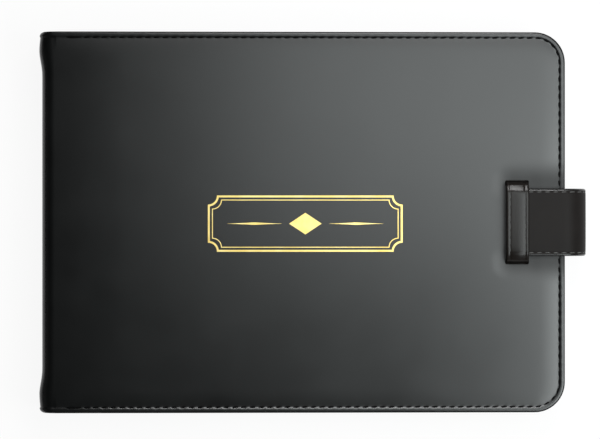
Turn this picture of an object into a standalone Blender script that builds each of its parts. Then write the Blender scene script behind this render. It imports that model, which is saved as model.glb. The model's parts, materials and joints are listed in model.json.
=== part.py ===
"""Pilot logbook: a landscape ring binder in stitched leatherette, closed by a tuck strap.

Book coordinates: X runs from the spine to the fore edge, Y from tail to head, Z up through the
closed book, which lies on its back cover. The part's origin is the middle of the back cover's
underside, so the book's own zero, at the spine, stands half a cover to the left of it.
"""

from math import asin, cos, pi, radians, sin, sqrt

import bmesh
import bpy
from mathutils import Matrix, Vector

MM = 0.001

# Cover, closed
COVER_W = 242.0 * MM
COVER_H = 176.0 * MM
BOOK_T = 28.5 * MM
FORE_T = 21.0 * MM
CORNER_R = 14.0 * MM
EDGE_R = 1.2 * MM

# Layers of a cover panel, from the outside in
SKIN_T = 1.0 * MM
BOARD_T = 1.8 * MM
LINING_T = 0.7 * MM
GLUE_GAP = 0.25 * MM
FIT_GAP = 0.3 * MM

# Soft rolls between the spine and the covers
HINGE_R = 6.0 * MM
HINGE_T = 2.0 * MM
SPINE_FLARE = 1.4 * MM
FLARE_LENGTH = 20.0 * MM

# Closing strap
STRAP_W = 31.2 * MM
STRAP_LAYER_T = 0.9 * MM
STRAP_BOW = 10.2 * MM
STRAP_TIP_INSET = 1.0 * MM
STRAP_ROOT = 22.0 * MM
STRAP_LIFT = 0.35 * MM
STRAP_BEND_INSET = 1.0 * MM

# Keeper band on the front cover
KEEPER_INSET = 22.3 * MM
KEEPER_W = 10.5 * MM
KEEPER_T = 1.5 * MM
KEEPER_SIDE_PLAY = 1.4 * MM
KEEPER_BEND_R = 1.6 * MM
KEEPER_FOOT = 6.0 * MM
KEEPER_ROUND = 0.3 * MM
SLIT_PLAY = 0.3 * MM

# Ring mechanism: arched base, blades and rings
BASE_INSET = 2.2 * MM
BASE_OVERHANG = 1.0 * MM
BASE_W = 17.0 * MM
BASE_H = 3.5 * MM
BASE_WALL_H = 1.7 * MM
BASE_SHEET = 0.8 * MM
BASE_LIP = 2.3 * MM
BASE_LIP_T = 0.35 * MM
BASE_CORNER_R = 3.0 * MM
BLADE_T = 0.7 * MM
BLADE_DROP = radians(5.0)
BLADE_PIVOT_INSET = 1.3 * MM
BLADE_PIVOT_RISE = 1.0 * MM
BLADE_EDGE_GAP = 0.2 * MM
BLADE_END_GAP = 2.0 * MM
RING_WIRE_R = 1.1 * MM
RING_SPACING = 80.0 * MM
RING_FOOT_INSET = 2.5 * MM
RING_FOOT_RISE = 1.33 * MM
RING_HEADROOM = 2.3 * MM
RING_OPENING = radians(12.0)

# Ring mechanism: rivets and levers
RIVET_INSET = 13.0 * MM
RIVET_R = 1.4 * MM
RIVET_HEAD_R = 3.0 * MM
RIVET_HEAD_T = 0.4 * MM
RIVET_DOME = ((1.0, 0.0), (0.85, 0.6), (0.45, 1.0))
RIVET_FOOT_R = 4.0 * MM
RIVET_FOOT_T = 0.7 * MM
RIVET_SEAT = 0.1 * MM
LEVER_W = 9.0 * MM
LEVER_NECK_W = 6.4 * MM
LEVER_NECK_L = 3.0 * MM
LEVER_CORNER_R = 2.6 * MM
LEVER_T = 1.2 * MM
LEVER_REACH = 8.5 * MM
LEVER_RISE = 6.0 * MM
LEVER_CURL = 0.45
LEVER_HEEL = 1.0 * MM
LEVER_ROUND = 0.3 * MM
LEVER_AXIS_INSET = 0.5 * MM
LEVER_AXIS_RISE = 1.3 * MM

# Log pages
PAGE_FORE_MARGIN = 14.5 * MM
PAGE_END_MARGIN = 14.0 * MM
PAGE_HOLE_INSET = 7.5 * MM
PAGE_HOLE_PLAY = 0.3 * MM
PAGE_CLEARANCE = 0.4 * MM
STACK_T = 5.0 * MM
LEAVES_T = 2.6 * MM

# Facets on round stretches
CORNER_STEPS = 8
ROLL_STEPS = 8
EDGE_STEPS = 3
BOW_STEPS = 20
BEND_STEPS = 5
RING_STEPS = 18
WIRE_SIDES = 10
HOLE_SIDES = 20
FLARE_STATIONS = 5
LEVER_CORNER_STEPS = 3

# Angles past which an edge is drawn sharp, and is rounded
SHARP_ANGLE = radians(35.0)
ROUND_ANGLE = radians(50.0)

# Sizes that follow from those above: covers, strap and keeper
PANEL_T = SKIN_T + BOARD_T + LINING_T + 2 * GLUE_GAP
HALF_H = COVER_H / 2
PANEL_X = HINGE_R + FIT_GAP
HINGE_AXIS = HINGE_R * (1 - pi / 4)
COVER_LEAN = asin((BOOK_T - FORE_T) / (COVER_W - HINGE_AXIS))
STRAP_T = 2 * STRAP_LAYER_T + GLUE_GAP
STRAP_LEVEL = BOOK_T + STRAP_LIFT + STRAP_T / 2
STRAP_ROOT_Z = SKIN_T + GLUE_GAP + FIT_GAP + STRAP_T / 2
STRAP_APEX_X = COVER_W + STRAP_BOW - STRAP_T / 2
KEEPER_X = COVER_W - KEEPER_INSET
KEEPER_L = STRAP_W + 2 * (KEEPER_SIDE_PLAY + KEEPER_T)

# Ring mechanism: a ring's circle runs through its feet on the blades and up to its headroom
PAGE_H = COVER_H - 2 * PAGE_END_MARGIN
BASE_L = PAGE_H + 2 * BASE_OVERHANG
BASE_Z = PANEL_T + FIT_GAP
BASE_TOP = BASE_Z + BASE_H
BLADE_PIVOT_X = BASE_W / 2 - BLADE_PIVOT_INSET
BLADE_Z = BASE_Z + BLADE_PIVOT_RISE
RING_X = PANEL_X + BASE_INSET + BASE_W / 2
RING_FOOT_X = BLADE_PIVOT_X - RING_FOOT_INSET
RING_FOOT_Z = BLADE_Z + RING_FOOT_RISE
RING_H = BOOK_T - PANEL_T - RING_HEADROOM - RING_WIRE_R - RING_FOOT_Z
RING_R = (RING_H**2 + RING_FOOT_X**2) / (2 * RING_H)
RING_Z = RING_FOOT_Z + RING_H - RING_R
RING_FOOT_ANGLE = asin(RING_FOOT_X / RING_R)
RIVET_Y = BASE_L / 2 - RIVET_INSET
LEVER_Y = BASE_L / 2 - LEVER_AXIS_INSET
LEVER_Z = BASE_Z + LEVER_AXIS_RISE

# Pages: the punched holes take in the wire from its inner side under the stack to its widest, once open
STACK_Z = BASE_TOP + RIVET_SEAT + RIVET_HEAD_T + PAGE_CLEARANCE
WIRE_INNER = sqrt((RING_R - RING_WIRE_R) ** 2 - (RING_Z - STACK_Z) ** 2)
WIRE_OUTER = RING_R + RING_WIRE_R + (RING_Z - BLADE_Z) * sin(RING_OPENING)
PAGE_HOLE_R = (WIRE_OUTER - WIRE_INNER) / 2 + PAGE_HOLE_PLAY
PAGE_HOLE_X = RING_X + (WIRE_OUTER + WIRE_INNER) / 2
PAGE_X = PAGE_HOLE_X - PAGE_HOLE_INSET
PAGE_W = COVER_W - PAGE_X - PAGE_FORE_MARGIN
PAGE_TILT = asin((STACK_Z - BASE_Z) / PAGE_W)

LEATHER = ("leatherette", (0.018, 0.018, 0.020), 0.42, 0.0)
STRAP_LEATHER = ("strap_leather", (0.026, 0.024, 0.024), 0.46, 0.0)
LINING = ("lining_cloth", (0.030, 0.030, 0.033), 0.85, 0.0)
BOARD = ("grey_board", (0.36, 0.34, 0.31), 0.90, 0.0)
PAPER = ("log_paper", (0.86, 0.84, 0.78), 0.80, 0.0)
STEEL = ("nickel_steel", (0.62, 0.62, 0.63), 0.22, 1.0)


def clear_scene():
    """Remove every object of the open file."""
    for thing in list(bpy.data.objects):
        bpy.data.objects.remove(thing, do_unlink=True)


def material(finish):
    """The Principled material of a finish: name, colour, roughness, metallic."""
    name, colour, roughness, metallic = finish
    made = bpy.data.materials.get(name) or bpy.data.materials.new(name)
    made.use_nodes = True
    shader = made.node_tree.nodes["Principled BSDF"]
    shader.inputs["Base Color"].default_value = (*colour, 1.0)
    shader.inputs["Roughness"].default_value = roughness
    shader.inputs["Metallic"].default_value = metallic
    made.diffuse_color = (*colour, 1.0)
    return made


def empty(name, place, parent=None):
    """An empty at a place in book coordinates, the frame of one moving body."""
    made = bpy.data.objects.new(name, None)
    made.empty_display_size = 10 * MM
    made["book_place"] = place
    made.parent = parent
    made.location = Vector(place) - (Vector(parent["book_place"]) if parent else Vector())
    bpy.context.collection.objects.link(made)
    return made


def solid(name, shape, body, finish):
    """A sub-part from a mesh in book coordinates, carried by its body's empty."""
    bmesh.ops.recalc_face_normals(shape, faces=shape.faces)
    shape.transform(Matrix.Translation(-Vector(body["book_place"])))
    mesh = bpy.data.meshes.new(name)
    shape.to_mesh(mesh)
    shape.free()
    mesh.shade_smooth()
    mesh.set_sharp_from_angle(angle=SHARP_ANGLE)
    made = bpy.data.objects.new(name, mesh)
    made.parent = body
    bpy.context.collection.objects.link(made)
    if finish:
        mesh.materials.append(material(finish))
    return made


def cut(target, shape, name):
    """Cut a shape out of a sub-part, with the cutter kept beside it as a wire guide."""
    cutter = solid(f"{target.name}_{name}", shape, target.parent, None)
    cutter.hide_render = True
    cutter.display_type = "WIRE"
    step = target.modifiers.new(name, "BOOLEAN")
    step.operation = "DIFFERENCE"
    step.object = cutter
    step.solver = "EXACT"


def soften(target, width):
    """Round a sub-part's sharp edges."""
    step = target.modifiers.new("soft_edge", "BEVEL")
    step.width = width
    step.segments = 1
    step.limit_method = "ANGLE"
    step.angle_limit = ROUND_ANGLE


def loft(loops):
    """A closed shape through loops of equally many points, capped at both ends."""
    shape = bmesh.new()
    rings = [[shape.verts.new(point) for point in loop] for loop in loops]
    count = len(rings[0])
    for lower, upper in zip(rings, rings[1:]):
        for i in range(count):
            j = (i + 1) % count
            shape.faces.new((lower[i], lower[j], upper[j], upper[i]))
    shape.faces.new(rings[0][::-1])
    shape.faces.new(rings[-1])
    return shape


def prism(outline, low, high, axis="Z"):
    """An outline in a plane, drawn out along the axis square to it."""
    order = {"Z": lambda a, b, c: (a, b, c), "Y": lambda a, b, c: (a, c, b), "X": lambda a, b, c: (c, a, b)}
    return loft([[order[axis](a, b, c) for a, b in outline] for c in (low, high)])


def block(x0, x1, y0, y1, z0, z1):
    """A plain box between six planes."""
    return prism([(x0, y0), (x1, y0), (x1, y1), (x0, y1)], z0, z1)


def arc(cx, cy, radius, start, end, steps):
    """Points along an arc, both ends included."""
    turns = (start + (end - start) * i / steps for i in range(steps + 1))
    return [(cx + radius * cos(a), cy + radius * sin(a)) for a in turns]


def disc(cx, cy, radius, sides=HOLE_SIDES):
    """The outline of a round hole."""
    return arc(cx, cy, radius, 0, 2 * pi, sides)[:-1]


def turned(profile, place):
    """A closed profile of (radius, height) points, spun about an upright axis at a place."""
    x, y = place
    return loft([[(px, py, height) for px, py in disc(x, y, radius)] for radius, height in profile])


def ribbon(path, thickness, low, high, axis):
    """A band of even thickness along a path in a plane, drawn out along the axis square to it."""
    sides = ([], [])
    for i, point in enumerate(path):
        before = Vector(path[max(i - 1, 0)])
        after = Vector(path[min(i + 1, len(path) - 1)])
        along = (after - before).normalized()
        across = Vector((-along.y, along.x)) * thickness / 2
        sides[0].append(Vector(point) + across)
        sides[1].append(Vector(point) - across)
    return prism([tuple(p) for p in sides[0] + sides[1][::-1]], low, high, axis)


def panel_outline(inset, reach=0.0):
    """A cover panel's outline: square at the spine, round at the fore edge, drawn in by an inset.

    reach carries the spine side that much further towards the spine.
    """
    half = HALF_H - inset
    fore = COVER_W - inset
    radius = CORNER_R - inset
    start = PANEL_X - reach
    lower = arc(fore - radius, radius - half, radius, -pi / 2, 0, CORNER_STEPS)
    upper = arc(fore - radius, half - radius, radius, 0, pi / 2, CORNER_STEPS)
    return [(start, -half), *lower, *upper, (start, half)]


def panel_prism(inset, outer_depth, inner_depth, outside, inward, reach=0.0):
    """A layer of a cover panel between two depths below its outer face."""
    heights = sorted(outside + inward * depth for depth in (outer_depth, inner_depth))
    return prism(panel_outline(inset, reach), *heights)


def cover_skin(name, body, outside, inward):
    """The leatherette of one cover: a shallow tray with rounded rim, open to the inside and the hinge."""
    loops = []
    for i in range(EDGE_STEPS + 1):
        turn = pi / 2 * i / EDGE_STEPS
        height = outside + inward * EDGE_R * (1 - cos(turn))
        loops.append([(x, y, height) for x, y in panel_outline(EDGE_R * (1 - sin(turn)))])
    rim = outside + inward * PANEL_T
    loops.append([(x, y, rim) for x, y in panel_outline(0.0)])
    skin = solid(name, loft(loops), body, LEATHER)
    cut(skin, panel_prism(SKIN_T, SKIN_T, PANEL_T + SKIN_T, outside, inward, SKIN_T), "tray")
    return skin


def cover_board(name, body, outside, inward):
    """The stiff board inside one cover."""
    outer = SKIN_T + GLUE_GAP
    return solid(name, panel_prism(SKIN_T + FIT_GAP, outer, outer + BOARD_T, outside, inward), body, BOARD)


def cover_lining(name, body, outside, inward):
    """The cloth lining that closes one cover's tray, flush with its rim."""
    layer = panel_prism(SKIN_T + FIT_GAP, PANEL_T - LINING_T, PANEL_T, outside, inward)
    return solid(name, layer, body, LINING)


def flare(y):
    """How far the spine stands out at a height along it: nothing in the middle, most at the ends."""
    share = max(0.0, (abs(y) - (HALF_H - FLARE_LENGTH)) / FLARE_LENGTH)
    return SPINE_FLARE * share * share * (3 - 2 * share)


def spine_stations():
    """Places along the spine where its section is drawn, close together in the flared ends."""
    ends = [HALF_H - FLARE_LENGTH * i / FLARE_STATIONS for i in range(FLARE_STATIONS + 1)]
    return [-y for y in ends] + ends[::-1]


def spine_layer(name, body, depth, thickness, finish, inset=0.0):
    """One layer of the spine between the two rolls, following its flare."""
    low, high = HINGE_R + FIT_GAP, BOOK_T - HINGE_R - FIT_GAP
    loops = []
    for y in spine_stations():
        x = depth - flare(y)
        place = max(min(y, HALF_H - inset), inset - HALF_H)
        corners = ((x, low), (x + thickness, low), (x + thickness, high), (x, high))
        loops.append([(cx, place, cz) for cx, cz in corners])
    return solid(name, loft(loops), body, finish)


def hinge_strip(name, body, outside, inward):
    """The soft roll that joins the spine to one cover: skin and lining sewn together, a quarter round."""
    trim = FIT_GAP / 2 / HINGE_R
    turns = [trim + (pi / 2 - 2 * trim) * i / ROLL_STEPS for i in range(ROLL_STEPS + 1)]
    loops = []
    for y in spine_stations():
        section = []
        for radius, order in ((HINGE_R, turns), (HINGE_R - HINGE_T, turns[::-1])):
            for turn in order:
                x = HINGE_R - (radius + flare(y)) * cos(turn)
                section.append((x, y, outside + inward * (HINGE_R - radius * sin(turn))))
        loops.append(section)
    return solid(name, loft(loops), body, LEATHER)


def keeper_path():
    """The keeper's middle line in the YZ plane: foot, leg, bend, top, and the same again."""
    leg = KEEPER_L / 2 - KEEPER_T / 2
    foot_z = BOOK_T - SKIN_T - GLUE_GAP - BOARD_T / 2
    top_z = BOOK_T + 2 * STRAP_LIFT + STRAP_T + KEEPER_T / 2
    radius = KEEPER_BEND_R
    half = [(leg + KEEPER_FOOT, foot_z)]
    half += arc(leg + radius, foot_z + radius, radius, -pi / 2, -pi, BEND_STEPS)
    half += arc(leg - radius, top_z - radius, radius, 0, pi / 2, BEND_STEPS)
    return half + [(-y, z) for y, z in half[::-1]]


def keeper_band(body):
    """The loop that holds the strap, its feet turned out under the front cover's skin."""
    x0, x1 = KEEPER_X - KEEPER_W / 2, KEEPER_X + KEEPER_W / 2
    band = solid("keeper_band", ribbon(keeper_path(), KEEPER_T, x0, x1, "X"), body, LEATHER)
    soften(band, KEEPER_ROUND)
    return band


def keeper_cuts(skin, board):
    """Slits in the skin for the keeper's legs, and windows in the board where its feet lie."""
    x0 = KEEPER_X - KEEPER_W / 2 - SLIT_PLAY
    x1 = KEEPER_X + KEEPER_W / 2 + SLIT_PLAY
    inner = KEEPER_L / 2 - KEEPER_T - SLIT_PLAY
    outer = KEEPER_L / 2 + KEEPER_BEND_R + SLIT_PLAY
    far = KEEPER_L / 2 + KEEPER_FOOT + SLIT_PLAY
    for side, word in ((1, "head"), (-1, "tail")):
        slit = sorted((side * inner, side * outer))
        window = sorted((side * inner, side * far))
        cut(skin, block(x0, x1, *slit, BOOK_T - PANEL_T, BOOK_T + SKIN_T), f"slit_{word}")
        cut(board, block(x0, x1, *window, BOOK_T - PANEL_T, BOOK_T), f"window_{word}")


def leaned(x, z):
    """A point of the front cover, drawn level, once the closed cover leans down to the fore edge."""
    dx, dz = x - HINGE_AXIS, z - BOOK_T + HINGE_AXIS
    turned_x = dx * cos(COVER_LEAN) + dz * sin(COVER_LEAN)
    turned_z = dz * cos(COVER_LEAN) - dx * sin(COVER_LEAN)
    return HINGE_AXIS + turned_x, BOOK_T - HINGE_AXIS + turned_z


def strap_mid():
    """Half way up the strap's bow, where it bends as it is untucked."""
    return (leaned(COVER_W - STRAP_BEND_INSET, STRAP_LEVEL)[1] + STRAP_ROOT_Z) / 2


def strap_bow(offset):
    """The strap's bow round the fore edge in the XZ plane, from the front cover down to the root.

    The line is set off outwards from the strap's middle line.
    """
    start_x, start_z = leaned(COVER_W - STRAP_BEND_INSET, STRAP_LEVEL + offset)
    reach = STRAP_APEX_X + offset - start_x
    rise = start_z - strap_mid()
    turns = (pi / 2 - pi * i / BOW_STEPS for i in range(BOW_STEPS + 1))
    return [(start_x + reach * cos(a), strap_mid() + rise * sin(a)) for a in turns]


def strap_layers(root_body, tongue_body):
    """The strap's outer leather and its facing, each in two: the tongue and the sewn-in root.

    The halves meet at the bow's middle. Only the outer leather runs on into the back cover's edge.
    """
    tip = KEEPER_X - KEEPER_W / 2 + STRAP_TIP_INSET
    half = STRAP_W / 2
    middle = BOW_STEPS // 2
    offset = (STRAP_LAYER_T + GLUE_GAP) / 2
    for word, side in (("outer", offset), ("facing", -offset)):
        bow = strap_bow(side)
        upper, lower = bow[: middle + 1], bow[middle:]
        seam = STRAP_APEX_X + side
        upper[-1] = (seam, strap_mid() + FIT_GAP / 2)
        lower[0] = (seam, strap_mid() - FIT_GAP / 2)
        if word == "outer":
            lower.append((COVER_W - STRAP_ROOT, lower[-1][1]))
        else:
            lower = [point for point in lower if point[0] > COVER_W + FIT_GAP]
        tongue = [leaned(tip, STRAP_LEVEL + side), *upper]
        for name, path, body in (("tongue", tongue, tongue_body), ("root", lower, root_body)):
            layer = ribbon(path, STRAP_LAYER_T, -half, half, "Y")
            solid(f"strap_{name}_{word}", layer, body, STRAP_LEATHER)


def strap_cuts(skin, board):
    """The slot in the back cover's edge and the notch in its board that take the strap's root."""
    half = STRAP_W / 2 + FIT_GAP
    low = SKIN_T + GLUE_GAP
    high = PANEL_T - LINING_T - GLUE_GAP
    cut(skin, block(COVER_W - 2 * SKIN_T, COVER_W + SKIN_T, -half, half, low, high), "strap_slot")
    notch_x = COVER_W - STRAP_ROOT - FIT_GAP
    cut(board, block(notch_x, COVER_W, -half, half, 0.0, PANEL_T), "strap_notch")


def base_profile():
    """The ring base's section: an arched sheet with side walls and lips turned in under the blades."""
    half = BASE_W / 2
    crown = BASE_H - BASE_WALL_H
    radius = (half * half + crown * crown) / (2 * crown)
    centre_z = BASE_TOP - radius
    spread = asin(half / radius)
    inner_half = half - BASE_SHEET
    inner_radius = radius - BASE_SHEET
    inner_spread = asin(inner_half / inner_radius)
    outer = arc(RING_X, centre_z, radius, pi / 2 - spread, pi / 2 + spread, CORNER_STEPS)
    inner = arc(RING_X, centre_z, inner_radius, pi / 2 + inner_spread, pi / 2 - inner_spread, CORNER_STEPS)
    lip = BASE_Z + BASE_LIP_T
    left = [(-half, BASE_Z), (BASE_LIP - half, BASE_Z), (BASE_LIP - half, lip), (-inner_half, lip)]
    right = [(inner_half, lip), (half - BASE_LIP, lip), (half - BASE_LIP, BASE_Z), (half, BASE_Z)]
    return outer + [(RING_X + x, z) for x, z in left] + inner + [(RING_X + x, z) for x, z in right]


def base_corner(side, end):
    """What a round corner takes off the base, as seen from above."""
    x = RING_X + side * (BASE_W / 2 - BASE_CORNER_R)
    y = end * (BASE_L / 2 - BASE_CORNER_R)
    far = BASE_CORNER_R + FIT_GAP
    outline = arc(0.0, 0.0, BASE_CORNER_R, 0, pi / 2, CORNER_STEPS // 2)
    outline += [(0.0, far), (far, far), (far, 0.0)]
    return [(x + side * a, y + end * b) for a, b in outline]


def ring_base(body):
    """The arched steel base, round at its corners, with slots for the rings and holes for the rivets."""
    half = BASE_L / 2
    base = solid("ring_base", prism(base_profile(), -half, half, "Y"), body, STEEL)
    slot = RING_WIRE_R + 2 * FIT_GAP
    low, high = BASE_Z + BASE_WALL_H, BASE_TOP + FIT_GAP
    for end in (1, -1):
        y = end * RING_SPACING / 2
        for side in (1, -1):
            inner, outer = RING_FOOT_X - 2 * slot, BASE_W / 2 - BASE_SHEET
            xs = sorted((RING_X + side * inner, RING_X + side * outer))
            cut(base, block(*xs, y - slot, y + slot, low, high), f"slot_{end}_{side}")
            corner = prism(base_corner(side, end), PANEL_T, high)
            cut(base, corner, f"corner_{end}_{side}")
        hole = prism(disc(RING_X, end * RIVET_Y, RIVET_R + FIT_GAP), low, high)
        cut(base, hole, f"rivet_hole_{end}")
    return base


def rivet(name, end, body):
    """A rivet from the underside of the back board up through lining and base, with a low domed head."""
    foot = SKIN_T + GLUE_GAP + RIVET_SEAT
    seat = BASE_TOP + RIVET_SEAT
    profile = [(RIVET_FOOT_R, foot), (RIVET_FOOT_R, foot + RIVET_FOOT_T)]
    profile += [(RIVET_R, foot + RIVET_FOOT_T), (RIVET_R, seat)]
    profile += [(RIVET_HEAD_R * out, seat + RIVET_HEAD_T * up) for out, up in RIVET_DOME]
    return solid(name, turned(profile, (RING_X, end * RIVET_Y)), body, STEEL)


def rivet_cuts(board, lining):
    """Clearance for the rivets in the back board, with a seat for the foot, and in the lining."""
    floor = SKIN_T + GLUE_GAP
    for end in (1, -1):
        place = RING_X, end * RIVET_Y
        seat = prism(disc(*place, RIVET_FOOT_R + FIT_GAP), 0.0, floor + RIVET_FOOT_T + FIT_GAP)
        cut(board, seat, f"rivet_seat_{end}")
        cut(board, prism(disc(*place, RIVET_R + FIT_GAP), 0.0, PANEL_T), f"rivet_hole_{end}")
        cut(lining, prism(disc(*place, RIVET_R + FIT_GAP), floor, BASE_Z), f"rivet_hole_{end}")


def blade(name, side, body):
    """A spring blade under the base, hinged along its outer edge, cut away round the rivets."""
    pivot = Vector((RING_X + side * BLADE_PIVOT_X, BLADE_Z))
    inward = Vector((-side * cos(BLADE_DROP), -sin(BLADE_DROP)))
    width = BLADE_PIVOT_X - BLADE_EDGE_GAP
    path = [tuple(pivot + inward * BLADE_EDGE_GAP), tuple(pivot + inward * width)]
    half = BASE_L / 2 - BLADE_END_GAP
    made = solid(name, ribbon(path, BLADE_T, -half, half, "Y"), body, STEEL)
    for end in (1, -1):
        hole = prism(disc(RING_X, end * RIVET_Y, RIVET_R + 2 * FIT_GAP), PANEL_T, BASE_TOP)
        cut(made, hole, f"rivet_notch_{end}")
    return made


def half_ring(name, side, y, body):
    """Half of one ring: round wire from its foot on the blade up to the tip over the middle."""
    tip = pi / 2 - side * FIT_GAP / 2 / RING_R
    foot = -pi / 2 + side * RING_FOOT_ANGLE if side > 0 else 3 * pi / 2 - RING_FOOT_ANGLE
    loops = []
    for i in range(RING_STEPS + 1):
        turn = foot + (tip - foot) * i / RING_STEPS
        out = Vector((cos(turn), 0.0, sin(turn)))
        middle = Vector((RING_X, y, RING_Z)) + out * RING_R
        round_wire = arc(0.0, 0.0, RING_WIRE_R, 0, 2 * pi, WIRE_SIDES)[:-1]
        loops.append([tuple(middle + out * a + Vector((0.0, b, 0.0))) for a, b in round_wire])
    return solid(name, loft(loops), body, STEEL)


def lever_runs():
    """Places along the lever, out from its axis, where its section is drawn."""
    turns = (pi / 2 * i / LEVER_CORNER_STEPS for i in range(LEVER_CORNER_STEPS + 1))
    corner = LEVER_REACH - LEVER_CORNER_R
    return [-LEVER_HEEL, 0.0, LEVER_NECK_L, *(corner + LEVER_CORNER_R * sin(turn) for turn in turns)]


def lever_line(run):
    """The height and slope of the lever's middle line, which curls up past the pages' edge."""
    share = run / LEVER_REACH
    height = LEVER_Z + LEVER_RISE * share * (1 - LEVER_CURL + LEVER_CURL * share)
    return height, LEVER_RISE / LEVER_REACH * (1 - LEVER_CURL + 2 * LEVER_CURL * share)


def lever_half_width(run):
    """Half the lever's width: a neck in the base's mouth, then a thumb plate with round corners."""
    widening = min(1.0, max(0.0, run / LEVER_NECK_L))
    half = (LEVER_NECK_W + (LEVER_W - LEVER_NECK_W) * widening) / 2
    into_corner = max(0.0, run - LEVER_REACH + LEVER_CORNER_R)
    return half - LEVER_CORNER_R + sqrt(max(0.0, LEVER_CORNER_R**2 - into_corner**2))


def lever(name, end, body):
    """An opening lever at one end of the base: a tab bent up out of the base's mouth."""
    loops = []
    for run in lever_runs():
        height, slope = lever_line(run)
        half = lever_half_width(run)
        across = Vector((-slope, 1.0)).normalized() * LEVER_T / 2
        faces = [(LEVER_Y + run + face * across.x, height + face * across.y) for face in (-1, 1)]
        corners = [(-half, *faces[0]), (half, *faces[0]), (half, *faces[1]), (-half, *faces[1])]
        loops.append([(RING_X + x, end * y, z) for x, y, z in corners])
    made = solid(name, loft(loops), body, STEEL)
    soften(made, LEVER_ROUND)
    return made


def sheet_stack(name, rise, thickness, body):
    """A stack of punched log sheets, lying over the base at the rings and on the lining at its far end."""
    shape = block(0.0, PAGE_W, -PAGE_H / 2, PAGE_H / 2, rise, rise + thickness)
    lean = Matrix.Translation((PAGE_X, 0.0, STACK_Z)) @ Matrix.Rotation(PAGE_TILT, 4, "Y")
    shape.transform(lean)
    made = solid(name, shape, body, PAPER)
    for end in (1, -1):
        punch = disc(PAGE_HOLE_INSET, end * RING_SPACING / 2, PAGE_HOLE_R)
        hole = prism(punch, rise - thickness, rise + 2 * thickness)
        hole.transform(lean)
        cut(made, hole, f"hole_{end}")
    return made


def build_back_cover(body):
    """The back cover with its hinge strip, ring base, rivets and lower stack of pages."""
    skin = cover_skin("back_skin", body, 0.0, 1)
    board = cover_board("back_board", body, 0.0, 1)
    lining = cover_lining("back_lining", body, 0.0, 1)
    hinge_strip("back_hinge_strip", body, 0.0, 1)
    strap_cuts(skin, board)
    rivet_cuts(board, lining)
    ring_base(body)
    rivet("rivet_head_end", 1, body)
    rivet("rivet_tail_end", -1, body)
    sheet_stack("page_stack", 0.0, STACK_T, body)


def build_spine(body):
    """The spine's three layers and the roll that carries the front cover."""
    spine_layer("spine_skin", body, 0.0, SKIN_T, LEATHER)
    spine_layer("spine_board", body, SKIN_T + GLUE_GAP, BOARD_T, BOARD, SKIN_T)
    spine_layer("spine_lining", body, PANEL_T - LINING_T, LINING_T, LINING)
    hinge_strip("front_hinge_strip", body, BOOK_T, -1)


def build_front_cover(body):
    """The front cover with the keeper band set into it."""
    skin = cover_skin("front_skin", body, BOOK_T, -1)
    board = cover_board("front_board", body, BOOK_T, -1)
    cover_lining("front_lining", body, BOOK_T, -1)
    keeper_band(body)
    keeper_cuts(skin, board)


def build_rings(side, word, body):
    """One blade and the two half rings that stand on it."""
    blade(f"blade_{word}", side, body)
    for end, place in ((1, "head_end"), (-1, "tail_end")):
        half_ring(f"ring_{word}_{place}", side, end * RING_SPACING / 2, body)


def main():
    """Build the closed logbook, body by body."""
    clear_scene()
    book = empty("logbook", (0.0, 0.0, 0.0))
    book.location.x = -COVER_W / 2
    spine = empty("spine_axis", (HINGE_AXIS, 0.0, HINGE_AXIS), book)
    front = empty("front_cover_axis", (HINGE_AXIS, 0.0, BOOK_T - HINGE_AXIS), spine)
    front.rotation_euler.y = COVER_LEAN
    leaves = empty("leaves_axis", (RING_X, 0.0, RING_Z), book)
    strap = empty("strap_axis", (STRAP_APEX_X, 0.0, strap_mid()), book)
    build_back_cover(book)
    build_spine(spine)
    build_front_cover(front)
    for side, word in ((-1, "spine_side"), (1, "page_side")):
        build_rings(side, word, empty(f"{word}_axis", (RING_X + side * BLADE_PIVOT_X, 0.0, BLADE_Z), book))
    for end, word in ((1, "head_end"), (-1, "tail_end")):
        lever(f"lever_{word}", end, empty(f"lever_{word}_axis", (RING_X, end * LEVER_Y, LEVER_Z), book))
    sheet_stack("turning_leaves", STACK_T + FIT_GAP, LEAVES_T, leaves)
    strap_layers(book, strap)


main()
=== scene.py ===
"""Looks of a closed ring-bound logbook: sewn leatherette covers, strap, keeper, rings and log sheets.

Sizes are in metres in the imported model's frame: X runs from the spine to the fore edge, Y from tail to
head and Z up, with the book on its back cover. What the model fixes is measured from its nodes.
"""

import json
import logging
import math
import random
from contextlib import contextmanager
from dataclasses import dataclass, replace
from enum import Enum
from typing import Callable, Iterator, Sequence

import bmesh
import bpy
from mathutils import Matrix, Vector


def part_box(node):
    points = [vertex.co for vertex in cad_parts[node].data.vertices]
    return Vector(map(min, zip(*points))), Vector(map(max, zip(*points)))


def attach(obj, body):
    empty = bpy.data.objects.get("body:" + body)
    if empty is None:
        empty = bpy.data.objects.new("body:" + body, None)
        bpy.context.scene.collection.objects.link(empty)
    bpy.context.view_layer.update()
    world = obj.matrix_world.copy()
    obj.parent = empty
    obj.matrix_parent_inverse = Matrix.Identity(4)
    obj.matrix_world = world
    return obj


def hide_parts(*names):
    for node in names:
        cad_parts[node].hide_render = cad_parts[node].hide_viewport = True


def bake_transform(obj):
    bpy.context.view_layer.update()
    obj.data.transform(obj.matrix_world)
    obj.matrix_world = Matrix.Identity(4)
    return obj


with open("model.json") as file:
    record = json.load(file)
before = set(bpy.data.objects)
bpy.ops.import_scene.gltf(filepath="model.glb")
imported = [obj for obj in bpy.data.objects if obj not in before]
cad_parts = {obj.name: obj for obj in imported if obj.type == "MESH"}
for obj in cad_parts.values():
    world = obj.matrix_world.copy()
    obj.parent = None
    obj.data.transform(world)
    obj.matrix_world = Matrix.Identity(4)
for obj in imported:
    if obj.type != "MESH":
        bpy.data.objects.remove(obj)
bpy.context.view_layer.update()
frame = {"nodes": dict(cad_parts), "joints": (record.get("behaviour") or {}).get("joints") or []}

MM = 0.001
TINY = 1e-5
MERGE = TINY / 100  # points nearer than this are one
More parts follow.
